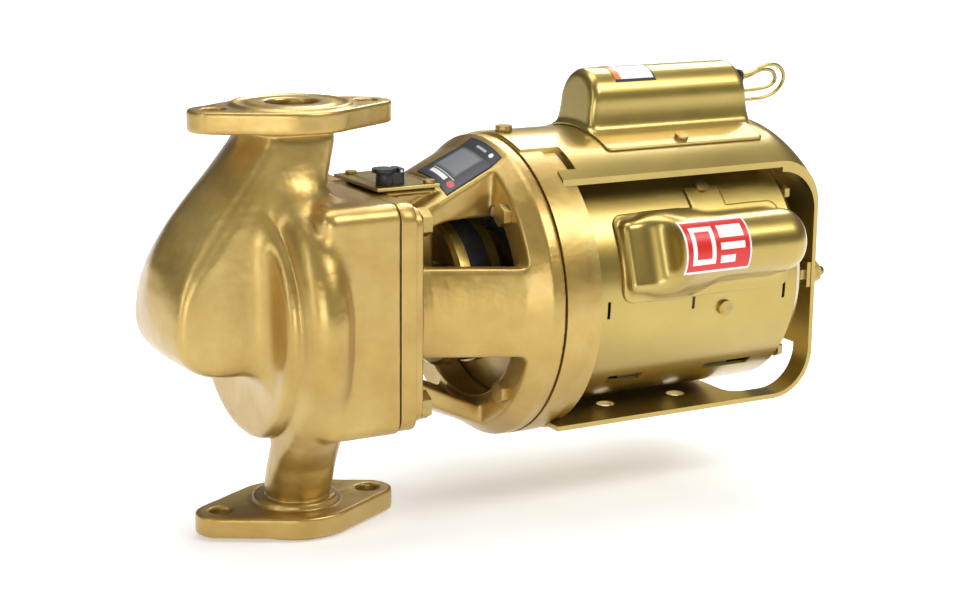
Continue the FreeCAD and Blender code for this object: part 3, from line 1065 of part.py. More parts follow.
def side_capacitor():
    span = ("side_cover_front", "side_cover_back")
    outline = [(span[0], "50"), (span[0], "shell_radius + 5"), ("side_ramp_end", "side_cover_top"),
               (f"{span[1]} - side_end_round", "side_cover_top"),
               (span[1], "side_cover_top - side_end_round"), (span[1], "50")]
    inner = [(f"{span[0]} + cover_sheet", "50"), (f"{span[0]} + cover_sheet", "shell_radius + 4.4"),
             ("side_ramp_end + 0.5", "side_cover_top - cover_sheet"),
             (f"{span[1]} - side_end_round - 0.5", "side_cover_top - cover_sheet"),
             (f"{span[1]} - cover_sheet", "side_cover_top - side_end_round - 0.5"),
             (f"{span[1]} - cover_sheet", "50")]
    shell = cover_shell("run_cover", "shell_radius + cover_gap", "side_flange_radius", "side_flange_half",
                        ("side_flange_front", "side_flange_back"), (span, "side_cover_half", "side_cover_top"),
                        outline, inner)
    tab = common("run_cover_tab", ring("run_cover_tab_tube", "side_flange_radius", "shell_radius + cover_gap",
                                       ("side_tab_front", "side_tab_back")),
                 block("run_cover_tab_reach", ("side_tab_front", "side_tab_back"),
                       ("side_flange_half - 1", "side_tab_reach"), ("0", "100")))
    hole = tilted("run_cover_hole", rod("run_cover_hole_rod", "cover_screw_radius", ("60", "80"),
                                        ("side_screw_x", "0"), "z"), value("side_screw_angle"))
    node("run_capacitor_cover", cut("run_cover_whole", fuse("run_cover_tabbed", shell, tab), hole),
         tilt="side_tilt")
    node("run_capacitor", rod("run_can", "capacitor_radius", ("side_capacitor_front", "side_capacitor_back"),
                              ("0", "side_capacitor_height")), tilt="side_tilt")
    cover_screws("run_cover_screws", "side_flange_radius", "side_screw_depth", ("side_screw_x",),
                 (value("side_screw_angle"),), "side_tilt")
    axis = ("0", "side_cover_top - side_cover_half")
    sticker = common("sticker", ring("sticker_ring", "side_cover_half + label_thick", "side_cover_half",
                                     ("sticker_front", "sticker_back"), axis),
                     block("sticker_reach", ("sticker_front", "sticker_back"),
                           ("0 - sticker_half", "sticker_half"),
                           ("side_cover_top - side_cover_half", "side_cover_top + 1")))
    node("run_cover_label", sticker, tilt="side_tilt")


def lead_wires():
    grommet = block("grommet", ("top_cover_back", "grommet_back"), ("grommet_left", "grommet_right"),
                    ("grommet_low", "grommet_high"))
    node("wire_grommet", rounded("grommet_whole", grommet, "grommet_round", runs_along_shaft))
    node("lead_wire_outer", lead_tube("outer_lead", OUTER_LEAD))
    node("lead_wire_inner", lead_tube("inner_lead", INNER_LEAD))


# ---------------------------------------------------------------- build and write

def check_document():
    doc.recompute()
    for piece in doc.Objects:
        if "Invalid" in piece.State or "Error" in piece.State:
            raise RuntimeError(f"{piece.Name} ({piece.Label}) failed: {piece.State}")
    for name, piece in NODES.items():
        if piece.Shape.isNull() or not piece.Shape.isValid() or not piece.Shape.Solids:
            raise RuntimeError(f"{name} has no valid solid")


def write_parts():
    os.makedirs(PARTS_FOLDER, exist_ok=True)
    for name, piece in NODES.items():
        piece.Shape.exportStep(f"{PARTS_FOLDER}/{name}.step")


for build in (volute_casing, cover_and_gasket, impeller, wet_rotating_parts, bearing_bracket, bracket_parts,
              oil_cup, structural_bolts, nameplate, coupling, mounting_ring, end_bells, motor_shell,
              stator_and_rotor, motor_yoke, yoke_fasteners, top_capacitor, side_capacitor, lead_wires):
    build()
check_document()
write_parts()
print(len(NODES), "sub-parts written")
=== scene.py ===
import json
import math

import bpy
import numpy as np
from mathutils import Matrix, Vector, noise


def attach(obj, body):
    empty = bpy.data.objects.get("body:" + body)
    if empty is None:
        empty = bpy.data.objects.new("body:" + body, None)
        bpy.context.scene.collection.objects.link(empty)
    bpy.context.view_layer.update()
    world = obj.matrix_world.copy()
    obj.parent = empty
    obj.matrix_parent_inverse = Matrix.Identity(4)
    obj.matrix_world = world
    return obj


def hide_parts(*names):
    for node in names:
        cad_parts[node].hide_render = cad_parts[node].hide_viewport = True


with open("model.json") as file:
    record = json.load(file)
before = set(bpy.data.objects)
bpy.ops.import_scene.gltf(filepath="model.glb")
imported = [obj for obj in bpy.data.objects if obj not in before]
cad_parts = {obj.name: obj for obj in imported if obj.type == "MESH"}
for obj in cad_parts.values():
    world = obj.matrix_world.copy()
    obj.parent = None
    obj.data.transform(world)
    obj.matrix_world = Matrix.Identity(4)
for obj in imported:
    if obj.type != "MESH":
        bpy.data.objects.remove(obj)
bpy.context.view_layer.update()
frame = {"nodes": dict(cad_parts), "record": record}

# In-line pump with a cradle-mounted motor. Shapes are drawn in millimetres about the shaft's axis, with +X from
# pump to motor and +Z up, and lifted by SHAFT_HEIGHT when their meshes are made.

SHAFT_HEIGHT = 113.4        # shaft axis above the lower flange face
FACE_TOP = 102.5
FACE_LOW = -SHAFT_HEIGHT
FLANGE_PLATE = 10.8         # thickness without the raised face
RAISED_FACE = 1.6
RAISED_RADIUS = 30.0
BOLT_OFFSET = 40.5
BOLT_HOLE = 5.6
FLANGE_END = 13.0           # radius round each bolt hole
FLANGE_WAIST = 33.0         # radius round the port
PORT_TOP = 13.0
PORT_LOW = 12.5
GROOVE_INSIDE, GROOVE_OUTSIDE, GROOVE_DEPTH = 22.0, 26.8, 0.9
BRACKET_FACE = 40.0         # where the bracket meets the cover plate
RING_BORE = 57.0            # inside of the bracket's hoop
HATCH_TOP = 57.9            # seat of the reservoir cover
SHEET = 1.2
YOKE_OUTSIDE = 80.05
SHELL_OUTSIDE = 66.05
SIDE_COVER_TILT = 71.5      # degrees round the shaft from upright

scene = bpy.context.scene
nodes = frame["nodes"]


def to_row(x, y, z):
    return x / 1000.0, y / 1000.0, (z + SHAFT_HEIGHT) / 1000.0


# ---------------------------------------------------------------- camera, light and floor

LENS, SENSOR_WIDTH = 77.91, 36.0
AZIMUTH, ELEVATION, ROLL = -29.475, 13.289, 0.596
LOOK_AT, DISTANCE = (0.107662, 0.0, 0.101057), 1.092991


def make_camera():
    data = bpy.data.cameras.new("camera")
    data.lens, data.sensor_width = LENS, SENSOR_WIDTH
    data.clip_end = 60.0
    camera = bpy.data.objects.new("camera", data)
    scene.collection.objects.link(camera)
    azimuth, elevation, roll = (math.radians(angle) for angle in (AZIMUTH, ELEVATION, ROLL))
    back = Vector((math.sin(azimuth) * math.cos(elevation),
                   -math.cos(azimuth) * math.cos(elevation),
                   math.sin(elevation)))
    right = (-back).cross(Vector((0, 0, 1))).normalized()
    up = right.cross(-back)
    level = Matrix((right, up, back)).transposed()
    turned = level @ Matrix.Rotation(roll, 3, "Z")
    camera.matrix_world = Matrix.Translation(Vector(LOOK_AT) + back * DISTANCE) @ turned.to_4x4()
    scene.camera = camera


def area_light(name, place, aim, size, power, colour=(1.0, 1.0, 1.0)):
    data = bpy.data.lights.new(name, "AREA")
    data.shape = "RECTANGLE"
    data.size, data.size_y = size
    data.energy = power
    data.color = colour
    light = bpy.data.objects.new(name, data)
    light.location = place
    light.rotation_euler = (Vector(place) - Vector(aim)).to_track_quat("Z", "Y").to_euler()
    scene.collection.objects.link(light)


def material_nodes(name):
    material = bpy.data.materials.new(name)
    material.use_nodes = True
    tree = material.node_tree
    return material, tree, tree.nodes["Principled BSDF"]


def ramp_node(tree, factor, stops):
    ramp = tree.nodes.new("ShaderNodeValToRGB")
    elements = ramp.color_ramp.elements
    elements[0].position, elements[0].color = stops[0][0], stops[0][1] + (1.0,)
    elements[1].position, elements[1].color = stops[-1][0], stops[-1][1] + (1.0,)
    for position, colour in stops[1:-1]:
        elements.new(position).color = colour + (1.0,)
    tree.links.new(factor, ramp.inputs["Fac"])
    return ramp.outputs["Color"]


# brightness by height in the sky, from 0 straight down through 0.5 at the horizon to 1 overhead
SKY_TONES = [(0.0, 1.0), (0.50, 1.0), (0.515, 0.30), (0.60, 0.07), (0.72, 0.10), (0.84, 0.24), (1.0, 0.4)]


def make_world():
    """White below the horizon, dark just above it and grey overhead, so that round metal shows stripes."""
    world = bpy.data.worlds.new("studio")
    world.use_nodes = True
    tree = world.node_tree
    coords = tree.nodes.new("ShaderNodeTexCoord")
    split = tree.nodes.new("ShaderNodeSeparateXYZ")
    lift = tree.nodes.new("ShaderNodeMath")
    lift.operation = "MULTIPLY_ADD"
    lift.inputs[1].default_value = 0.5
    lift.inputs[2].default_value = 0.5
    tree.links.new(coords.outputs["Generated"], split.inputs[0])
    tree.links.new(split.outputs["Z"], lift.inputs[0])
    tones = ramp_node(tree, lift.outputs[0], [(height, (tone,) * 3) for height, tone in SKY_TONES])
    tree.links.new(tones, tree.nodes["Background"].inputs["Color"])
    scene.world = world


FLOOR_RADIUS, FLOOR_CORNERS, FLOOR_LEVEL = 9.0, 96, -0.0004


def make_floor():
    """Pale floor disc that glows more with distance, until it is as white as the background."""
    mesh = bpy.data.meshes.new("floor")
    turns = [2 * math.pi * i / FLOOR_CORNERS for i in range(FLOOR_CORNERS)]
    rim = [(FLOOR_RADIUS * math.cos(turn), FLOOR_RADIUS * math.sin(turn), FLOOR_LEVEL) for turn in turns]
    mesh.from_pydata(rim, [], [list(range(FLOOR_CORNERS))])
    floor = bpy.data.objects.new("floor", mesh)
    scene.collection.objects.link(floor)
    material, tree, shader = material_nodes("floor_paper")
    shader.inputs["Base Color"].default_value = (0.86, 0.865, 0.88, 1.0)
    shader.inputs["Roughness"].default_value = 0.9
    shader.inputs["Emission Color"].default_value = (1.0, 1.0, 1.0, 1.0)
    coords = tree.nodes.new("ShaderNodeTexCoord")
    away = tree.nodes.new("ShaderNodeVectorMath")
    away.operation = "LENGTH"
    fade = tree.nodes.new("ShaderNodeMapRange")
    for socket, value in (("From Min", 0.3), ("From Max", 1.6), ("To Min", 0.38), ("To Max", 0.75)):
        fade.inputs[socket].default_value = value
    tree.links.new(coords.outputs["Object"], away.inputs[0])
    tree.links.new(away.outputs["Value"], fade.inputs["Value"])
    tree.links.new(fade.outputs["Result"], shader.inputs["Emission Strength"])
    mesh.materials.append(material)


PUMP_MIDDLE = (0.12, 0.0, 0.11)

scene.view_settings.view_transform = "Standard"
make_camera()
make_world()
area_light("key", (1.1, -1.5, 1.9), PUMP_MIDDLE, (1.3, 0.9), 30.0, (1.0, 0.99, 0.97))
area_light("top", (0.1, 0.25, 1.8), PUMP_MIDDLE, (1.5, 0.9), 15.0)
area_light("back", (1.15, 1.15, 1.45), (0.15, 0.0, 0.2), (1.1, 0.9), 17.0, (1.0, 1.0, 0.97))
area_light("fill", (-1.0, -1.5, 0.35), (0.08, 0.0, 0.1), (0.8, 0.5), 6.0)
area_light("left", (-1.8, -0.5, 0.8), (0.0, 0.0, 0.11), (0.35, 1.3), 7.0)
make_floor()


# ---------------------------------------------------------------- materials

def noise_node(tree, coords, scale, detail=4.0, roughness=0.55):
    texture = tree.nodes.new("ShaderNodeTexNoise")
    texture.inputs["Scale"].default_value = scale
    texture.inputs["Detail"].default_value = detail
    texture.inputs["Roughness"].default_value = roughness
    tree.links.new(coords, texture.inputs["Vector"])
    return texture.outputs["Fac"]


def object_coords(tree, stretch=(1.0, 1.0, 1.0)):
    coords = tree.nodes.new("ShaderNodeTexCoord")
    mapping = tree.nodes.new("ShaderNodeMapping")
    mapping.inputs["Scale"].default_value = stretch
    tree.links.new(coords.outputs["Object"], mapping.inputs["Vector"])
    return mapping.outputs["Vector"]


def bump_node(tree, height, distance, normal=None):
    bump = tree.nodes.new("ShaderNodeBump")
    bump.inputs["Distance"].default_value = distance
    tree.links.new(height, bump.inputs["Height"])
    if normal:
        tree.links.new(normal, bump.inputs["Normal"])
    return bump.outputs["Normal"]


def surface(name, tones, roughness, metallic, patch=60.0, grain=900.0, grain_depth=0.00004, wave=120.0,
            wave_depth=0.00015, stretch=(1.0, 1.0, 1.0), coat=0.0, coat_roughness=0.2):
    """Two or three tones mixed in soft patches, with grain and slow waviness in the surface. patch, grain and
    wave are noise scales per metre, and roughness is its lowest and highest value."""
    material, tree, shader = material_nodes(name)
    coords = object_coords(tree, stretch)
    stops = [(0.30 + 0.40 * i / (len(tones) - 1), tone) for i, tone in enumerate(tones)]
    tree.links.new(ramp_node(tree, noise_node(tree, coords, patch), stops), shader.inputs["Base Color"])
    low, high = roughness
    spread = ramp_node(tree, noise_node(tree, coords, patch * 2.3, 3.0),
                       [(0.3, (low,) * 3), (0.7, (high,) * 3)])
    tree.links.new(spread, shader.inputs["Roughness"])
    normal = bump_node(tree, noise_node(tree, coords, wave, 2.0), wave_depth)
    normal = bump_node(tree, noise_node(tree, coords, grain, 3.0, 0.6), grain_depth, normal)
    tree.links.new(normal, shader.inputs["Normal"])
    shader.inputs["Metallic"].default_value = metallic
    shader.inputs["Coat Weight"].default_value = coat
    shader.inputs["Coat Roughness"].default_value = coat_roughness
    return material


cast_paint = surface("cast_bronze_enamel", [(0.41, 0.255, 0.056), (0.485, 0.322, 0.082), (0.55, 0.392, 0.122)],
                     (0.34, 0.44), 0.84, patch=26.0, grain=700.0, grain_depth=0.00004, wave=110.0,
                     wave_depth=0.0003, coat=0.6, coat_roughness=0.22)
sheet_paint = surface("sheet_bronze_enamel", [(0.42, 0.298, 0.066), (0.49, 0.362, 0.092)],
                      (0.28, 0.34), 0.86, patch=20.0, grain=1500.0, grain_depth=0.000004, wave=45.0,
                      wave_depth=0.00004, coat=0.7, coat_roughness=0.17)
plain_steel = surface("turned_steel", [(0.42, 0.42, 0.42), (0.52, 0.52, 0.52)], (0.22, 0.34), 1.0,
                      patch=90.0, grain=1800.0, grain_depth=0.00002, stretch=(8.0, 1.0, 1.0))
bolt_paint = surface("painted_fastener", [(0.36, 0.24, 0.06), (0.46, 0.33, 0.10), (0.34, 0.28, 0.15)],
                     (0.28, 0.45), 0.9, patch=160.0, grain=1500.0, grain_depth=0.00001)
bronze = surface("cast_bronze", [(0.42, 0.25, 0.10), (0.53, 0.34, 0.15)], (0.3, 0.5), 1.0)
black_rubber = surface("black_rubber", [(0.012, 0.012, 0.012), (0.022, 0.021, 0.02)], (0.6, 0.8), 0.0,
                       patch=120.0, grain=1600.0)
black_moulding = surface("black_moulding", [(0.010, 0.010, 0.010), (0.022, 0.021, 0.019)], (0.35, 0.5), 0.0,
                         patch=150.0, grain=1200.0, grain_depth=0.00002)
fibre = surface("gasket_fibre", [(0.06, 0.045, 0.025), (0.09, 0.07, 0.04)], (0.7, 0.9), 0.0, grain=1500.0)
copper = surface("winding_copper", [(0.40, 0.13, 0.05), (0.55, 0.2, 0.08)], (0.3, 0.45), 1.0, grain=1200.0)
lamination = surface("lamination_steel", [(0.18, 0.18, 0.18), (0.25, 0.25, 0.25)], (0.35, 0.5), 1.0,
                     stretch=(14.0, 1.0, 1.0))
aluminium = surface("cast_aluminium", [(0.45, 0.45, 0.45), (0.56, 0.56, 0.56)], (0.35, 0.5), 1.0)
carbon = surface("lapped_carbon", [(0.02, 0.02, 0.021), (0.03, 0.03, 0.032)], (0.3, 0.4), 0.0)
ceramic = surface("lapped_ceramic", [(0.62, 0.60, 0.55), (0.68, 0.66, 0.62)], (0.15, 0.25), 0.0)

FILM_GRAIN, FILM_GRAIN_DEPTH = 900.0, 0.00001
PRINT_LINES = 5200.0        # radians a metre, so a printed line about each 1.2 mm
PRINT_GAP = -0.2            # the wave's height above which ink lies


def printed_film(name, ground, marks, tilt=0.0, roughness=0.3):
    """Film printed with plain blocks. Each mark is (shape, x span, span across, colour), in millimetres along
    the shaft and across it once the film is turned upright by tilt."""
    material, tree, shader = material_nodes(name)
    coords = tree.nodes.new("ShaderNodeTexCoord")
    turn = tree.nodes.new("ShaderNodeVectorRotate")
    turn.rotation_type = "X_AXIS"
    turn.inputs["Center"].default_value = to_row(0.0, 0.0, 0.0)
    turn.inputs["Angle"].default_value = math.radians(-tilt)
    split = tree.nodes.new("ShaderNodeSeparateXYZ")
    tree.links.new(coords.outputs["Object"], turn.inputs["Vector"])
    tree.links.new(turn.outputs["Vector"], split.inputs[0])

    def math_node(operation, a, b):
        node = tree.nodes.new("ShaderNodeMath")
        node.operation = operation
        for socket, source in zip(node.inputs, (a, b)):
            if isinstance(source, float):
                socket.default_value = source
            else:
                tree.links.new(source, socket)
        return node.outputs[0]

    def distance(axis, span):
        """How far a point lies from the middle of a span, as a share of its half width."""
        middle, half = sum(span) / 2000.0, (span[1] - span[0]) / 2000.0
        offset = math_node("SUBTRACT", split.outputs[axis], middle)
        return math_node("DIVIDE", math_node("ABSOLUTE", offset, 0.0), half)

    speckle = noise_node(tree, coords.outputs["Object"], FILM_GRAIN, 3.0)
    colour = ramp_node(tree, speckle, [(0.3, tuple(0.9 * c for c in ground)), (0.7, ground)])
    for shape, x_span, y_span, ink in marks:
        a, b = distance("X", x_span), distance("Y", y_span)
        if shape == "oval":
            inside = math_node("LESS_THAN", math_node("ADD", math_node("POWER", a, 2.0),
                                                      math_node("POWER", b, 2.0)), 1.0)
        else:
            inside = math_node("LESS_THAN", math_node("MAXIMUM", a, b), 1.0)
        if shape == "lines":
            wave = math_node("SINE", math_node("MULTIPLY", split.outputs["Y"], PRINT_LINES), 0.0)
            inside = math_node("MULTIPLY", inside, math_node("GREATER_THAN", wave, PRINT_GAP))
        mix = tree.nodes.new("ShaderNodeMix")
        mix.data_type = "RGBA"
        mix.inputs["B"].default_value = ink + (1.0,)
        tree.links.new(inside, mix.inputs["Factor"])
        tree.links.new(colour, mix.inputs["A"])
        colour = mix.outputs["Result"]
    tree.links.new(colour, shader.inputs["Base Color"])
    tree.links.new(bump_node(tree, speckle, FILM_GRAIN_DEPTH), shader.inputs["Normal"])
    shader.inputs["Roughness"].default_value = roughness
    return material


WHITE = (0.82, 0.82, 0.80)
RED = (0.62, 0.022, 0.018)
nameplate_foil = printed_film("nameplate_foil", (0.02, 0.022, 0.028), [
    ("block", (71.8, 101.7), (-28.3, 2.3), (0.035, 0.037, 0.045)),
    ("block", (79.0, 95.5), (-22.0, -1.0), (0.11, 0.12, 0.14)),
    ("lines", (80.0, 94.5), (-21.0, -2.0), (0.24, 0.25, 0.27)),
    ("block", (74.4, 76.8), (-19.5, -4.0), WHITE),
    ("block", (77.5, 78.1), (-24.0, -3.0), (0.5, 0.5, 0.5)),
    ("oval", (73.6, 77.2), (-27.2, -22.0), (0.6, 0.09, 0.09)),
    ("oval", (98.2, 100.6), (-24.8, -21.6), WHITE),
    ("block", (98.6, 99.8), (-18.5, -9.0), (0.45, 0.45, 0.45)),
], roughness=0.38)
label_film = printed_film("label_film", (0.02, 0.02, 0.022), [
    ("block", (180.0, 204.0), (-12.6, 8.5), WHITE),
    ("block", (180.0, 183.6), (-12.6, 8.5), (0.75, 0.20, 0.05)),
    ("block", (186.0, 201.0), (-3.0, -1.4), (0.30, 0.30, 0.32)),
    ("lines", (186.0, 201.0), (0.5, 6.5), (0.45, 0.45, 0.47)),
])
sticker_film = printed_film("sticker_film", WHITE, [
    ("block", (175.0, 213.0), (-12.4, 12.4), RED),
    ("block", (178.0, 192.0), (-9.6, 9.6), WHITE),
    ("block", (180.5, 189.5), (-7.0, 7.0), RED),
    ("block", (195.0, 210.0), (3.0, 9.6), WHITE),
    ("block", (195.0, 210.0), (-3.2, 0.4), WHITE),
    ("block", (195.0, 204.0), (-9.6, -6.0), WHITE),
], tilt=SIDE_COVER_TILT)

SLOT_MATERIALS = {
    "casting_paint": cast_paint, "sheet_paint": sheet_paint, "machined_steel": plain_steel,
    "zinc_fastener": bolt_paint, "bronze": bronze, "black_rubber": black_rubber, "gasket_fibre": fibre,
    "carbon": carbon, "ceramic_seat": ceramic, "black_moulding": black_moulding,
    "capacitor_case": black_moulding, "winding_copper": copper, "lamination_steel": lamination,
    "cast_aluminium": aluminium, "nameplate_foil": nameplate_foil,
    "label_film": label_film, "sticker_film": sticker_film, "lead_sleeve": sheet_paint,
}


# ---------------------------------------------------------------- lead wires

def lead(name, cad_name, route):
    curve = bpy.data.curves.new(name, "CURVE")
    curve.dimensions = "3D"
    spline = curve.splines.new("NURBS")
    spline.points.add(len(route) - 1)
    for point, place in zip(spline.points, route):
        point.co = (*to_row(*place), 1.0)
    spline.order_u = 3
    spline.use_endpoint_u = True
    spline.resolution_u = 12
    curve.bevel_depth = 0.001
    curve.bevel_resolution = 5
    curve.use_fill_caps = True
    piece = bpy.data.objects.new(name, curve)
    scene.collection.objects.link(piece)
    curve.materials.append(sheet_paint)
    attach(piece, "frame")
    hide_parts(cad_name)


lead("outer_lead", "lead_wire_outer", [
    (264.0, -7.0, 102.5), (272.0, -7.0, 102.5), (280.5, -7.3, 107.6), (290.0, -7.2, 107.2),
    (295.6, -6.8, 100.5), (291.5, -6.4, 92.6), (282.5, -6.1, 88.9), (273.0, -6.0, 88.6), (264.0, -6.0, 88.6)])
lead("inner_lead", "lead_wire_inner", [
    (264.0, -3.5, 100.2), (272.0, -3.5, 100.2), (280.8, -3.5, 104.6), (289.0, -3.4, 103.8),
    (292.2, -3.3, 98.0), (287.0, -3.2, 94.2), (275.5, -3.2, 93.2), (264.0, -3.2, 93.2)])


# ---------------------------------------------------------------- distance fields

LEAST_SLOPE = 0.35          # keeps a field finite where it is nearly flat


class Field:
    """Grid of points on which signed distances in millimetres are worked out."""

    def __init__(self, low, high, step):
        self.low, self.step = np.array(low, dtype=np.float32), step
        counts = [int(math.ceil((b - a) / step)) + 1 for a, b in zip(low, high)]
        axes = [np.float32(a) + np.float32(step) * np.arange(n, dtype=np.float32) for a, n in zip(low, counts)]
        self.x, self.y, self.z = axes[0][:, None, None], axes[1][None, :, None], axes[2][None, None, :]

    def block(self, x, y, z, corner=0.0, plane=None):
        """Box between limits, with all edges rounded, or only those along one axis when plane names the two
        axes across it."""
        spans = dict(x=x, y=y, z=z)
        offsets = {axis: np.abs(getattr(self, axis) - sum(span) / 2) - (span[1] - span[0]) / 2
                   for axis, span in spans.items()}
        if plane:
            a, b = (offsets[axis] + corner for axis in plane)
            flat = np.hypot(np.maximum(a, 0), np.maximum(b, 0)) + np.minimum(np.maximum(a, b), 0) - corner
            third = offsets[(set("xyz") - set(plane)).pop()]
            return np.maximum(flat, third)
        a, b, c = (offsets[axis] + corner for axis in "xyz")
        outside = np.sqrt(np.maximum(a, 0) ** 2 + np.maximum(b, 0) ** 2 + np.maximum(c, 0) ** 2)
        return outside + np.minimum(np.maximum(np.maximum(a, b), c), 0) - corner

    def rod(self, radius, span, across=(0.0, 0.0), axis="x", corner=0.0):
        others = [name for name in "xyz" if name != axis]
        out = np.hypot(getattr(self, others[0]) - across[0], getattr(self, others[1]) - across[1])
        out = out - radius + corner
        along = np.abs(getattr(self, axis) - sum(span) / 2) - (span[1] - span[0]) / 2 + corner
        outside = np.hypot(np.maximum(out, 0), np.maximum(along, 0))
        return outside + np.minimum(np.maximum(out, along), 0) - corner

    def even(self, values):
        """Rescale a field so that it changes by about one for each millimetre."""
        slopes = np.gradient(values, self.step)
        return values / np.maximum(np.sqrt(sum(slope ** 2 for slope in slopes)), LEAST_SLOPE)


def blend(a, b, reach):
    """Union with a fillet."""
    share = np.clip(0.5 + 0.5 * (b - a) / reach, 0, 1)
    return b * (1 - share) + a * share - reach * share * (1 - share)


def carve(a, b, reach):
    """Take b away from a, leaving a rounded lip."""
    return -blend(-a, b, reach)


def overlap(a, b, reach=0.0):
    """What a and b share, with its edge rounded by reach."""
    return -blend(-a, -b, reach) if reach else np.maximum(a, b)


def skin(field, values):
    """Vertices and quads of the zero surface, by surface nets."""
    inside = values < 0
    count = np.zeros(tuple(n - 1 for n in values.shape), dtype=np.int8)
    corners = [(i, j, k) for i in (0, 1) for j in (0, 1) for k in (0, 1)]
    for i, j, k in corners:
        count += inside[i:inside.shape[0] - 1 + i, j:inside.shape[1] - 1 + j, k:inside.shape[2] - 1 + k]
    cells = np.argwhere((count > 0) & (count < 8))
    index = np.full(count.shape, -1, dtype=np.int64)
    index[tuple(cells.T)] = np.arange(len(cells))
    at = {corner: values[tuple((cells + corner).T)].astype(np.float64) for corner in corners}
    total, hits = np.zeros((len(cells), 3)), np.zeros(len(cells))
    for a in corners:
        for axis in range(3):
            if a[axis] == 0:
                b = tuple(1 if n == axis else a[n] for n in range(3))
                crossing = (at[a] < 0) != (at[b] < 0)
                share = np.where(crossing, at[a] / np.where(crossing, at[a] - at[b], 1.0), 0.0)
                point = np.tile(np.array(a, dtype=float), (len(cells), 1))
                point[:, axis] = share
                total += point * crossing[:, None]
                hits += crossing
    places = (cells + total / hits[:, None]) * field.step + field.low
    quads = []
    for axis in range(3):
        near = [slice(None)] * 3
        far = [slice(None)] * 3
        near[axis], far[axis] = slice(0, -1), slice(1, None)
        start, end = inside[tuple(near)], inside[tuple(far)]
        u, v = [n for n in range(3) if n != axis]
        for flip in (False, True):
            edges = np.argwhere((start & ~end) if not flip else (~start & end))
            keep = (edges[:, u] > 0) & (edges[:, v] > 0)
            keep &= (edges[:, u] < values.shape[u] - 1) & (edges[:, v] < values.shape[v] - 1)
            edges = edges[keep]
            ring = []
            for du, dv in ((1, 1), (0, 1), (0, 0), (1, 0)):
                cell = edges.copy()
                cell[:, u] -= du
                cell[:, v] -= dv
                ring.append(index[tuple(cell.T)])
            if flip == (axis != 1):
                ring = ring[::-1]
            quads.append(np.stack(ring, axis=1))
    return places, np.concatenate(quads)


def make_mesh(name, places, faces, material):
    mesh = bpy.data.meshes.new(name)
    mesh.from_pydata(places.tolist(), [], faces.tolist())
    mesh.materials.append(material)
    piece = bpy.data.objects.new(name, mesh)
    scene.collection.objects.link(piece)
    mesh.shade_smooth()
    mesh.update()
    return piece


def sample(field, values, places):
    """Values and slopes of a field at any points, by straight-line interpolation."""
    spots = (places - field.low) / field.step
    base = np.clip(np.floor(spots).astype(int), 0, np.array(values.shape) - 2)
    part = spots - base
    corner = {(i, j, k): values[base[:, 0] + i, base[:, 1] + j, base[:, 2] + k]
              for i in (0, 1) for j in (0, 1) for k in (0, 1)}
    weight = [np.stack([1 - part[:, n], part[:, n]]) for n in range(3)]
    value = sum(corner[c] * weight[0][c[0]] * weight[1][c[1]] * weight[2][c[2]] for c in corner)
    slopes = []
    for axis in range(3):
        others = [n for n in range(3) if n != axis]
        slopes.append(sum((1 if c[axis] else -1) * corner[c] * weight[others[0]][c[others[0]]]
                          * weight[others[1]][c[others[1]]] for c in corner) / field.step)
    return value, np.stack(slopes, axis=1)


SNAPS = 2                   # times the vertices are drawn onto the surface
COARSE_NOISE, FINE_NOISE, FINE_SHARE = 0.09, 0.35, 0.4


def moulded(name, field, values, material, node_names, uneven=0.0, body="frame", tilt=0.0):
    """Piece made from a distance field, turned about the shaft by tilt degrees, which stands for its CAD
    node. uneven is the height in millimetres of a cast skin's slow unevenness."""
    places, quads = skin(field, values)
    for _ in range(SNAPS):
        value, slope = sample(field, values, places)
        size = np.maximum((slope ** 2).sum(axis=1), 0.05)
        move = slope * (value / size)[:, None]
        length = np.linalg.norm(move, axis=1)
        places -= move * np.minimum(1.0, 0.5 * field.step / np.maximum(length, 1e-6))[:, None]
    sides = np.concatenate([quads[:, [n, (n + 1) % 4]] for n in range(4)])
    edges = np.unique(np.sort(sides, axis=1), axis=0)
    total, hits = np.zeros_like(places), np.zeros(len(places))
    for a, b in ((0, 1), (1, 0)):
        np.add.at(total, edges[:, a], places[edges[:, b]])
        np.add.at(hits, edges[:, a], 1)
    places += 0.5 * (total / np.maximum(hits, 1)[:, None] - places)
    if uneven:
        _, slope = sample(field, values, places)
        slope /= np.maximum(np.linalg.norm(slope, axis=1), 1e-6)[:, None]
        rise = np.array([noise.noise(Vector(place) * COARSE_NOISE)
                         + FINE_SHARE * noise.noise(Vector(place) * FINE_NOISE) for place in places])
        places += slope * (uneven * rise)[:, None]
    if tilt:
        turn = math.radians(tilt)
        y, z = places[:, 1].copy(), places[:, 2].copy()
        places[:, 1] = y * math.cos(turn) - z * math.sin(turn)
        places[:, 2] = y * math.sin(turn) + z * math.cos(turn)
    places[:, 2] += SHAFT_HEIGHT
    piece = make_mesh(name, places / 1000.0, quads, material)
    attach(piece, body)
    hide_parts(*node_names)


# ---------------------------------------------------------------- volute casting

CASTING_WALL = 4.6
SMOOTHING = 5.0             # height over which a table's corners are rounded

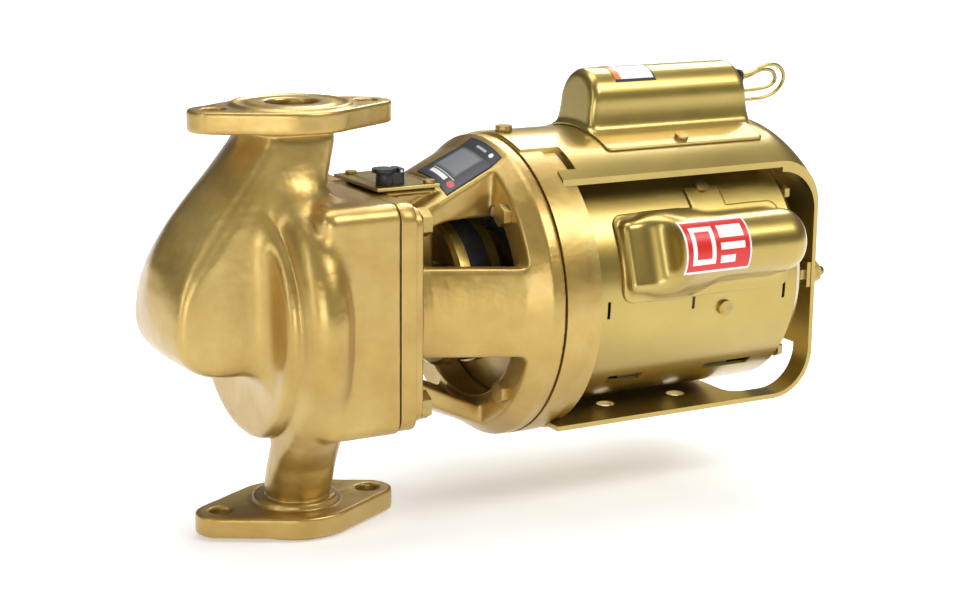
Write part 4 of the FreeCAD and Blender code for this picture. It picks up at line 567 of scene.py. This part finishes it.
# rows of height, front at the middle, front at the side ridge, back, half width
SUCTION = np.array([
    (93.0, -25.0, -20.0, 16.8, 23.0),
    (84.5, -28.0, -21.5, 15.6, 24.5),
    (71.0, -41.0, -30.5, 11.5, 27.0),
    (57.0, -55.5, -40.0, 6.0, 28.5),
    (45.0, -65.5, -49.0, 2.0, 29.5),
    (35.0, -71.5, -57.0, -1.0, 30.0),
    (26.5, -74.8, -64.0, -4.0, 30.5),
    (16.0, -76.6, -69.0, -7.0, 31.0),
    (6.5, -76.6, -71.5, -9.0, 31.0),
    (-5.0, -75.4, -72.5, -10.0, 31.0),
    (-13.0, -72.4, -70.5, -10.0, 30.5),
    (-20.0, -66.6, -65.0, -10.0, 29.5),
    (-27.0, -56.0, -56.0, -10.0, 27.5),
    (-34.0, -44.0, -44.0, -10.0, 24.0),
])
# rows of height, front, back, centre across, half width
DISCHARGE = np.array([
    (30.0, -17.0, 3.0, -50.0, 12.0),
    (4.0, -17.0, 3.0, -49.0, 17.0),
    (-28.0, -17.5, 4.0, -45.5, 19.0),
    (-50.0, -19.0, 7.0, -34.0, 20.0),
    (-66.0, -19.0, 11.5, -21.0, 18.8),
    (-78.0, -18.0, 15.0, -11.5, 17.2),
    (-90.0, -17.2, 16.4, -5.0, 17.0),
    (-104.0, -17.2, 16.8, -1.5, 17.0),
])


def profile(table, heights, column):
    """Smoothed interpolation of one column of a table that runs from high to low."""
    rows = table[::-1]
    line = np.interp(heights.ravel(), rows[:, 0], rows[:, column])
    reach = max(1, int(round(SMOOTHING / abs(heights.ravel()[1] - heights.ravel()[0]))))
    padded = np.pad(line, reach, mode="edge")
    kernel = np.hanning(2 * reach + 3)[1:-1]
    smooth = np.convolve(padded, kernel / kernel.sum(), mode="valid")
    return smooth.reshape(heights.shape).astype(np.float32)


def oval(field):
    """Level outline of a two-bolt flange."""
    lean = math.acos((FLANGE_WAIST - FLANGE_END) / BOLT_OFFSET)
    across, along = np.abs(field.y), np.abs(field.x)
    normal = (math.cos(lean), math.sin(lean))
    side = along * normal[0] + across * normal[1] - FLANGE_WAIST
    tangent = along * normal[1] - across * normal[0]
    round_middle = np.hypot(along, across) - FLANGE_WAIST
    round_end = np.hypot(along - BOLT_OFFSET, across) - FLANGE_END
    reach = BOLT_OFFSET * normal[1]
    return np.where(tangent < 0, round_middle, np.where(tangent > reach, round_end, side))


def suction_duct(f):
    """Belly and neck from the upper flange to the impeller's eye, with a nose that falls back to its sides."""
    front, ridge, back, half = (profile(SUCTION, f.z, n) for n in (1, 2, 3, 4))
    nose = f.even(front + (ridge - front) * (np.abs(f.y) / half) ** 1.6 - f.x + 0 * f.z)
    sides = f.even(np.abs(f.y) - half + 0 * f.x)
    suction = overlap(nose, sides, 5.5)
    suction = overlap(suction, f.x - back + 0 * f.y, 12.0)
    return overlap(suction, np.maximum(f.z - 93.0, -27.0 - f.z) + 0 * f.x, 8.0)


def discharge_duct(f):
    """Tube that leaves the scroll at one side and runs down to the lower flange."""
    front, back, centre, half = (profile(DISCHARGE, f.z, n) for n in (1, 2, 3, 4))
    deep = (back - front) / 2
    radius = np.minimum(deep, half) * 0.96
    a = np.abs(f.x - (front + back) / 2) - deep + radius
    b = np.abs(f.y - centre) - half + radius
    tube = np.hypot(np.maximum(a, 0), np.maximum(b, 0)) + np.minimum(np.maximum(a, b), 0) - radius
    return overlap(f.even(tube), np.maximum(f.z - 16.0, -104.0 - f.z) + 0 * f.x, 14.0)


def flange_plate(f, flat, low, high):
    """Plate with the outline flat between two heights, with its edges rounded."""
    edge = 1.2
    up = np.abs(f.z - (low + high) / 2) - (high - low) / 2
    plate = np.hypot(np.maximum(flat + edge, 0), np.maximum(up + edge, 0))
    return plate + np.minimum(np.maximum(flat + edge, up + edge), 0) - edge


def volute():
    f = Field((-83, -71, -115), (56, 70, 104), 0.95)
    disc = f.rod(61.0, (-27.0, -12.0), (4.0, -4.0), corner=6.0)
    # the scroll is a tube of oval section bent round the shaft, filled in on its inner side
    tube_x, tube_radius, half_deep, half_high = -8.0, 53.6, 13.0, 14.6
    ring = np.hypot(f.y, f.z) - tube_radius
    scroll = (np.hypot((f.x - tube_x) / half_deep, ring / half_high) - 1.0) * half_deep
    scroll = np.minimum(scroll, f.rod(58.0, (-20.0, 0.0)))
    housing_back, housing_span = 31.0, (-57.5, 57.5)
    housing = f.block((-10.0, 50.0), housing_span, housing_span, 8.0)
    housing = overlap(housing, f.x - housing_back + 0 * f.y)
    collar = f.rod(17.2, (78.5, 96.0), axis="z")
    foot = f.rod(22.0, (FACE_LOW + 8, FACE_LOW + 16), axis="z", corner=1.8)
    suction, discharge = suction_duct(f), discharge_duct(f)
    body = blend(scroll, discharge, 4.0)
    body = blend(body, housing, 3.4)
    body = blend(body, disc, 0.8)
    body = blend(body, suction, 13.0)
    body = blend(body, collar, 4.0)
    flat = oval(f)
    for low in (FACE_TOP - RAISED_FACE - FLANGE_PLATE, FACE_LOW + RAISED_FACE):
        body = blend(body, flange_plate(f, flat, low, low + FLANGE_PLATE), 2.6)
    # the lower raised face starts a hair high, so that its relaxed mesh stays above the CAD's lowest point
    for low in (FACE_TOP - 6.0, FACE_LOW + 0.1):
        body = np.minimum(body, f.rod(RAISED_RADIUS, (low, low + 6.0), axis="z", corner=0.4))
    body = blend(body, foot, 1.2)
    # the bores stop where the necks grow too slender for them, and the passages carry on
    for span, bore in (((FACE_TOP - 24.5, FACE_TOP + 5), PORT_TOP), ((FACE_LOW - 5, FACE_LOW + 14), PORT_LOW)):
        body = carve(body, f.rod(bore, span, axis="z"), 0.8)
    for passage in (suction, discharge):
        body = np.maximum(body, -(passage + CASTING_WALL))
    for low, high in ((FACE_TOP - GROOVE_DEPTH, FACE_TOP + 3), (FACE_LOW - 3, FACE_LOW + GROOVE_DEPTH)):
        groove = np.maximum(f.rod(GROOVE_OUTSIDE, (low, high), axis="z"),
                            -f.rod(GROOVE_INSIDE, (low - 1, high + 1), axis="z"))
        body = np.maximum(body, -groove)
    for x in (-BOLT_OFFSET, BOLT_OFFSET):
        for low, high in ((FACE_TOP - 20, FACE_TOP + 5), (FACE_LOW - 5, FACE_LOW + 20)):
            body = carve(body, f.rod(BOLT_HOLE, (low, high), (x, 0.0), "z"), 0.6)
    chamber = f.rod(53.0, (-8.0, 40.0), corner=3.0)
    body = np.maximum(body, -chamber)
    moulded("volute_casting", f, body, cast_paint, ["volute_casing"], uneven=0.12)


# ---------------------------------------------------------------- bearing bracket casting

def bracket():
    f = Field((39, -81, -81), (114, 81, 81), 1.0)
    out = np.hypot(f.y, f.z)
    plate = f.block((30.0, 45.5), (-54.0, 54.0), (-54.0, 54.0), 9.0, "yz")
    plate = np.maximum(plate, BRACKET_FACE - f.x)
    barrel = f.rod(18.0, (BRACKET_FACE, 70.0), corner=1.5)
    # four arms cut from a cone that widens from the plate to the hoop
    cone_start, cone_end, cone_small, rise, run, arm_wall = 45.0, 100.0, 50.0, 22.7, 51.0, 10.0
    outer = np.interp(f.x, [cone_start, 96.0, 105.0, 113.0], [cone_small, 72.7, 79.0, 79.0]).astype(np.float32)
    cone_radius = cone_small + (f.x - cone_start) * rise / run
    slope = math.cos(math.atan2(rise, run))
    cone = np.maximum((out - cone_radius) * slope, (cone_radius - arm_wall - out) * slope)
    cone = np.maximum(cone, np.maximum(BRACKET_FACE - f.x, f.x - cone_end))
    arm_half, top_arm_half = 22.5, 30.0
    low_arms = np.minimum(np.abs(f.y) - arm_half, np.abs(f.z) - arm_half)
    top_arm = np.maximum(np.abs(f.y) - top_arm_half, -f.z)
    arms = overlap(cone, np.minimum(low_arms, top_arm) + 0 * f.x, 2.5)
    # the top arm is solid behind the reservoir, where the nameplate lies on it
    web_start, web_floor = 66.0, 42.0
    web = np.maximum(np.maximum((out - cone_radius) * slope, np.abs(f.y) - top_arm_half), web_floor - f.z)
    web = np.maximum(web, np.maximum(web_start - f.x, f.x - cone_end))
    hoop_middle, hoop_half = 104.2, 8.2
    hoop = np.maximum(out - outer, np.maximum(RING_BORE - out, np.abs(f.x - hoop_middle) - hoop_half))
    body = blend(plate, arms, 3.5)
    body = blend(body, barrel, 3.0)
    body = blend(body, hoop, 3.5)
    body = blend(body, web, 3.0)
    body = overlap(body, out - outer - 4.0 * np.maximum(0.0, 51.0 - f.x), 1.2)
    reservoir = f.block((44.0, 68.0), (-21.0, 21.0), (0.0, HATCH_TOP), 1.5)
    body = blend(body, reservoir, 2.0)
    body = np.minimum(body, f.block((40.1, 68.6), (-23.0, 23.0), (55.0, HATCH_TOP), 0.8))
    body = np.maximum(body, BRACKET_FACE - f.x)
    body = overlap(body, f.x - 112.4 + 0 * f.y, 1.6)
    body = np.maximum(body, np.where(f.x > 96.5, RING_BORE - out, -99.0))
    body = np.maximum(body, -f.block((41.8, 64.5), (-17.5, 17.5), (22.0, 90.0)))
    body = np.maximum(body, -f.block((33.0, 69.9), (-26.0, 26.0), (HATCH_TOP, 90.0)))
    body = np.maximum(body, -f.rod(9.5, (30.0, 80.0)))
    casing_screws, ring_screws = (46.0, 4.5, (30.0, 50.0)), (45.5, 3.2, (90.0, 120.0))
    for offset, radius, span in (casing_screws, ring_screws):
        for y in (-offset, offset):
            for z in (-offset, offset):
                body = np.maximum(body, -f.rod(radius, span, (y, z)))
    moulded("bracket_casting", f, body, cast_paint, ["bearing_bracket"], uneven=0.1)


# ---------------------------------------------------------------- pressed capacitor covers

def arch(f, half, crown):
    """Straight walls under a half-round crown, in the plane across the shaft."""
    middle = crown - half
    return np.where(f.z > middle, np.hypot(f.y, f.z - middle), np.abs(f.y)) - half + 0 * f.x


def curved_sheet(f, radius, x, y, corner):
    """Sheet bent round the shaft, trimmed to a rounded rectangle."""
    out = np.hypot(f.y, f.z)
    a = np.abs(f.x - sum(x) / 2) - (x[1] - x[0]) / 2 + corner
    b = np.abs(f.y - sum(y) / 2) - (y[1] - y[0]) / 2 + corner
    trim = np.hypot(np.maximum(a, 0), np.maximum(b, 0)) + np.minimum(np.maximum(a, b), 0) - corner
    skin_depth = np.abs(out - radius - SHEET / 2) - SHEET / 2
    return np.maximum(np.maximum(skin_depth, trim), 20.0 - f.z)


def top_cover():
    """Start capacitor's cover: an arched box, leaning in at both ends, on a skirt bent to the cradle strap."""
    f = Field((158, -39, 69), (268, 39, 112), 0.7)
    flare = 2.6 * np.clip((91.0 - f.z) / 13.0, 0.0, 1.0) ** 2
    half, crown, front_x, back_x, front_lean, back_lean = 17.0, 110.2, 165.5, 261.0, 0.13, 0.12
    front = front_x - (crown - f.z) * front_lean - f.x
    back = f.x - back_x - (crown - f.z) * back_lean
    body = overlap(overlap(arch(f, half, crown) - flare, front + 0 * f.y, 5.0), back + 0 * f.y, 5.0)
    skirt = curved_sheet(f, YOKE_OUTSIDE, (161.0, 260.0), (-36.5, 36.5), 3.0)
    whole = np.maximum(blend(skirt, body, 3.0), -(body + SHEET))
    whole = np.maximum(whole, YOKE_OUTSIDE - np.hypot(f.y, f.z) + 0 * f.x)
    moulded("top_cover_pressing", f, whole, sheet_paint, ["start_capacitor_cover"])


def side_cover():
    """Run capacitor's cover: a round-ended tube with a lower pad towards the pump, drawn upright and turned."""
    f = Field((152, -25, 58), (258, 41, 97), 0.6)
    half, crown, front_x, back_x = 17.0, 95.0, 175.0, 255.0
    main = overlap(arch(f, half, crown), front_x - f.x + 0 * f.y, 9.0)
    main = overlap(main, f.x - back_x + 0 * f.y, 13.0)
    pad = f.block((154.6, 196.0), (-18.5, 18.5), (50.0, 72.0), 4.5)
    body = blend(main, pad, 17.0)
    flange = curved_sheet(f, SHELL_OUTSIDE, (153.0, 257.0), (-23.0, 23.0), 6.0)
    tab = curved_sheet(f, SHELL_OUTSIDE, (203.0, 225.0), (15.0, 39.0), 3.0)
    flange = np.minimum(flange, tab)
    whole = np.maximum(blend(flange, body, 3.5), -(body + SHEET))
    whole = np.maximum(whole, SHELL_OUTSIDE - np.hypot(f.y, f.z) + 0 * f.x)
    moulded("side_cover_pressing", f, whole, sheet_paint, ["run_capacitor_cover"],
            tilt=SIDE_COVER_TILT)


volute()
bracket()
top_cover()
side_cover()

# ---------------------------------------------------------------- CAD nodes that stay

# These keep the CAD's own edges: a bevel would spoil their thin or finely curved faces. The rest have their
# edges broken.
SHEET_NODES = ("motor_shell", "motor_yoke", "mounting_ring", "coupler_motor_hub", "coupler_pump_hub",
               "nameplate", "capacitor_label", "run_cover_label", "reservoir_gasket",
               "front_end_bell", "rear_end_bell", "seal_spring", "impeller", "stator_core")
WELD_REACH, BROKEN_EDGE, SHARP_EDGE = 0.00001, 0.0004, 38
subpart_slots = {entry["node"]: entry["material_slot"] for entry in frame["record"]["subparts"]}
for name, node in nodes.items():
    node.data.materials.clear()
    node.data.materials.append(SLOT_MATERIALS[subpart_slots[name]])
    if name in SHEET_NODES:
        continue
    weld = node.modifiers.new("weld", "WELD")
    weld.merge_threshold = WELD_REACH
    bevel = node.modifiers.new("edges", "BEVEL")
    bevel.width = BROKEN_EDGE
    bevel.segments = 2
    bevel.limit_method = "ANGLE"
    bevel.angle_limit = math.radians(SHARP_EDGE)
    bevel.harden_normals = True
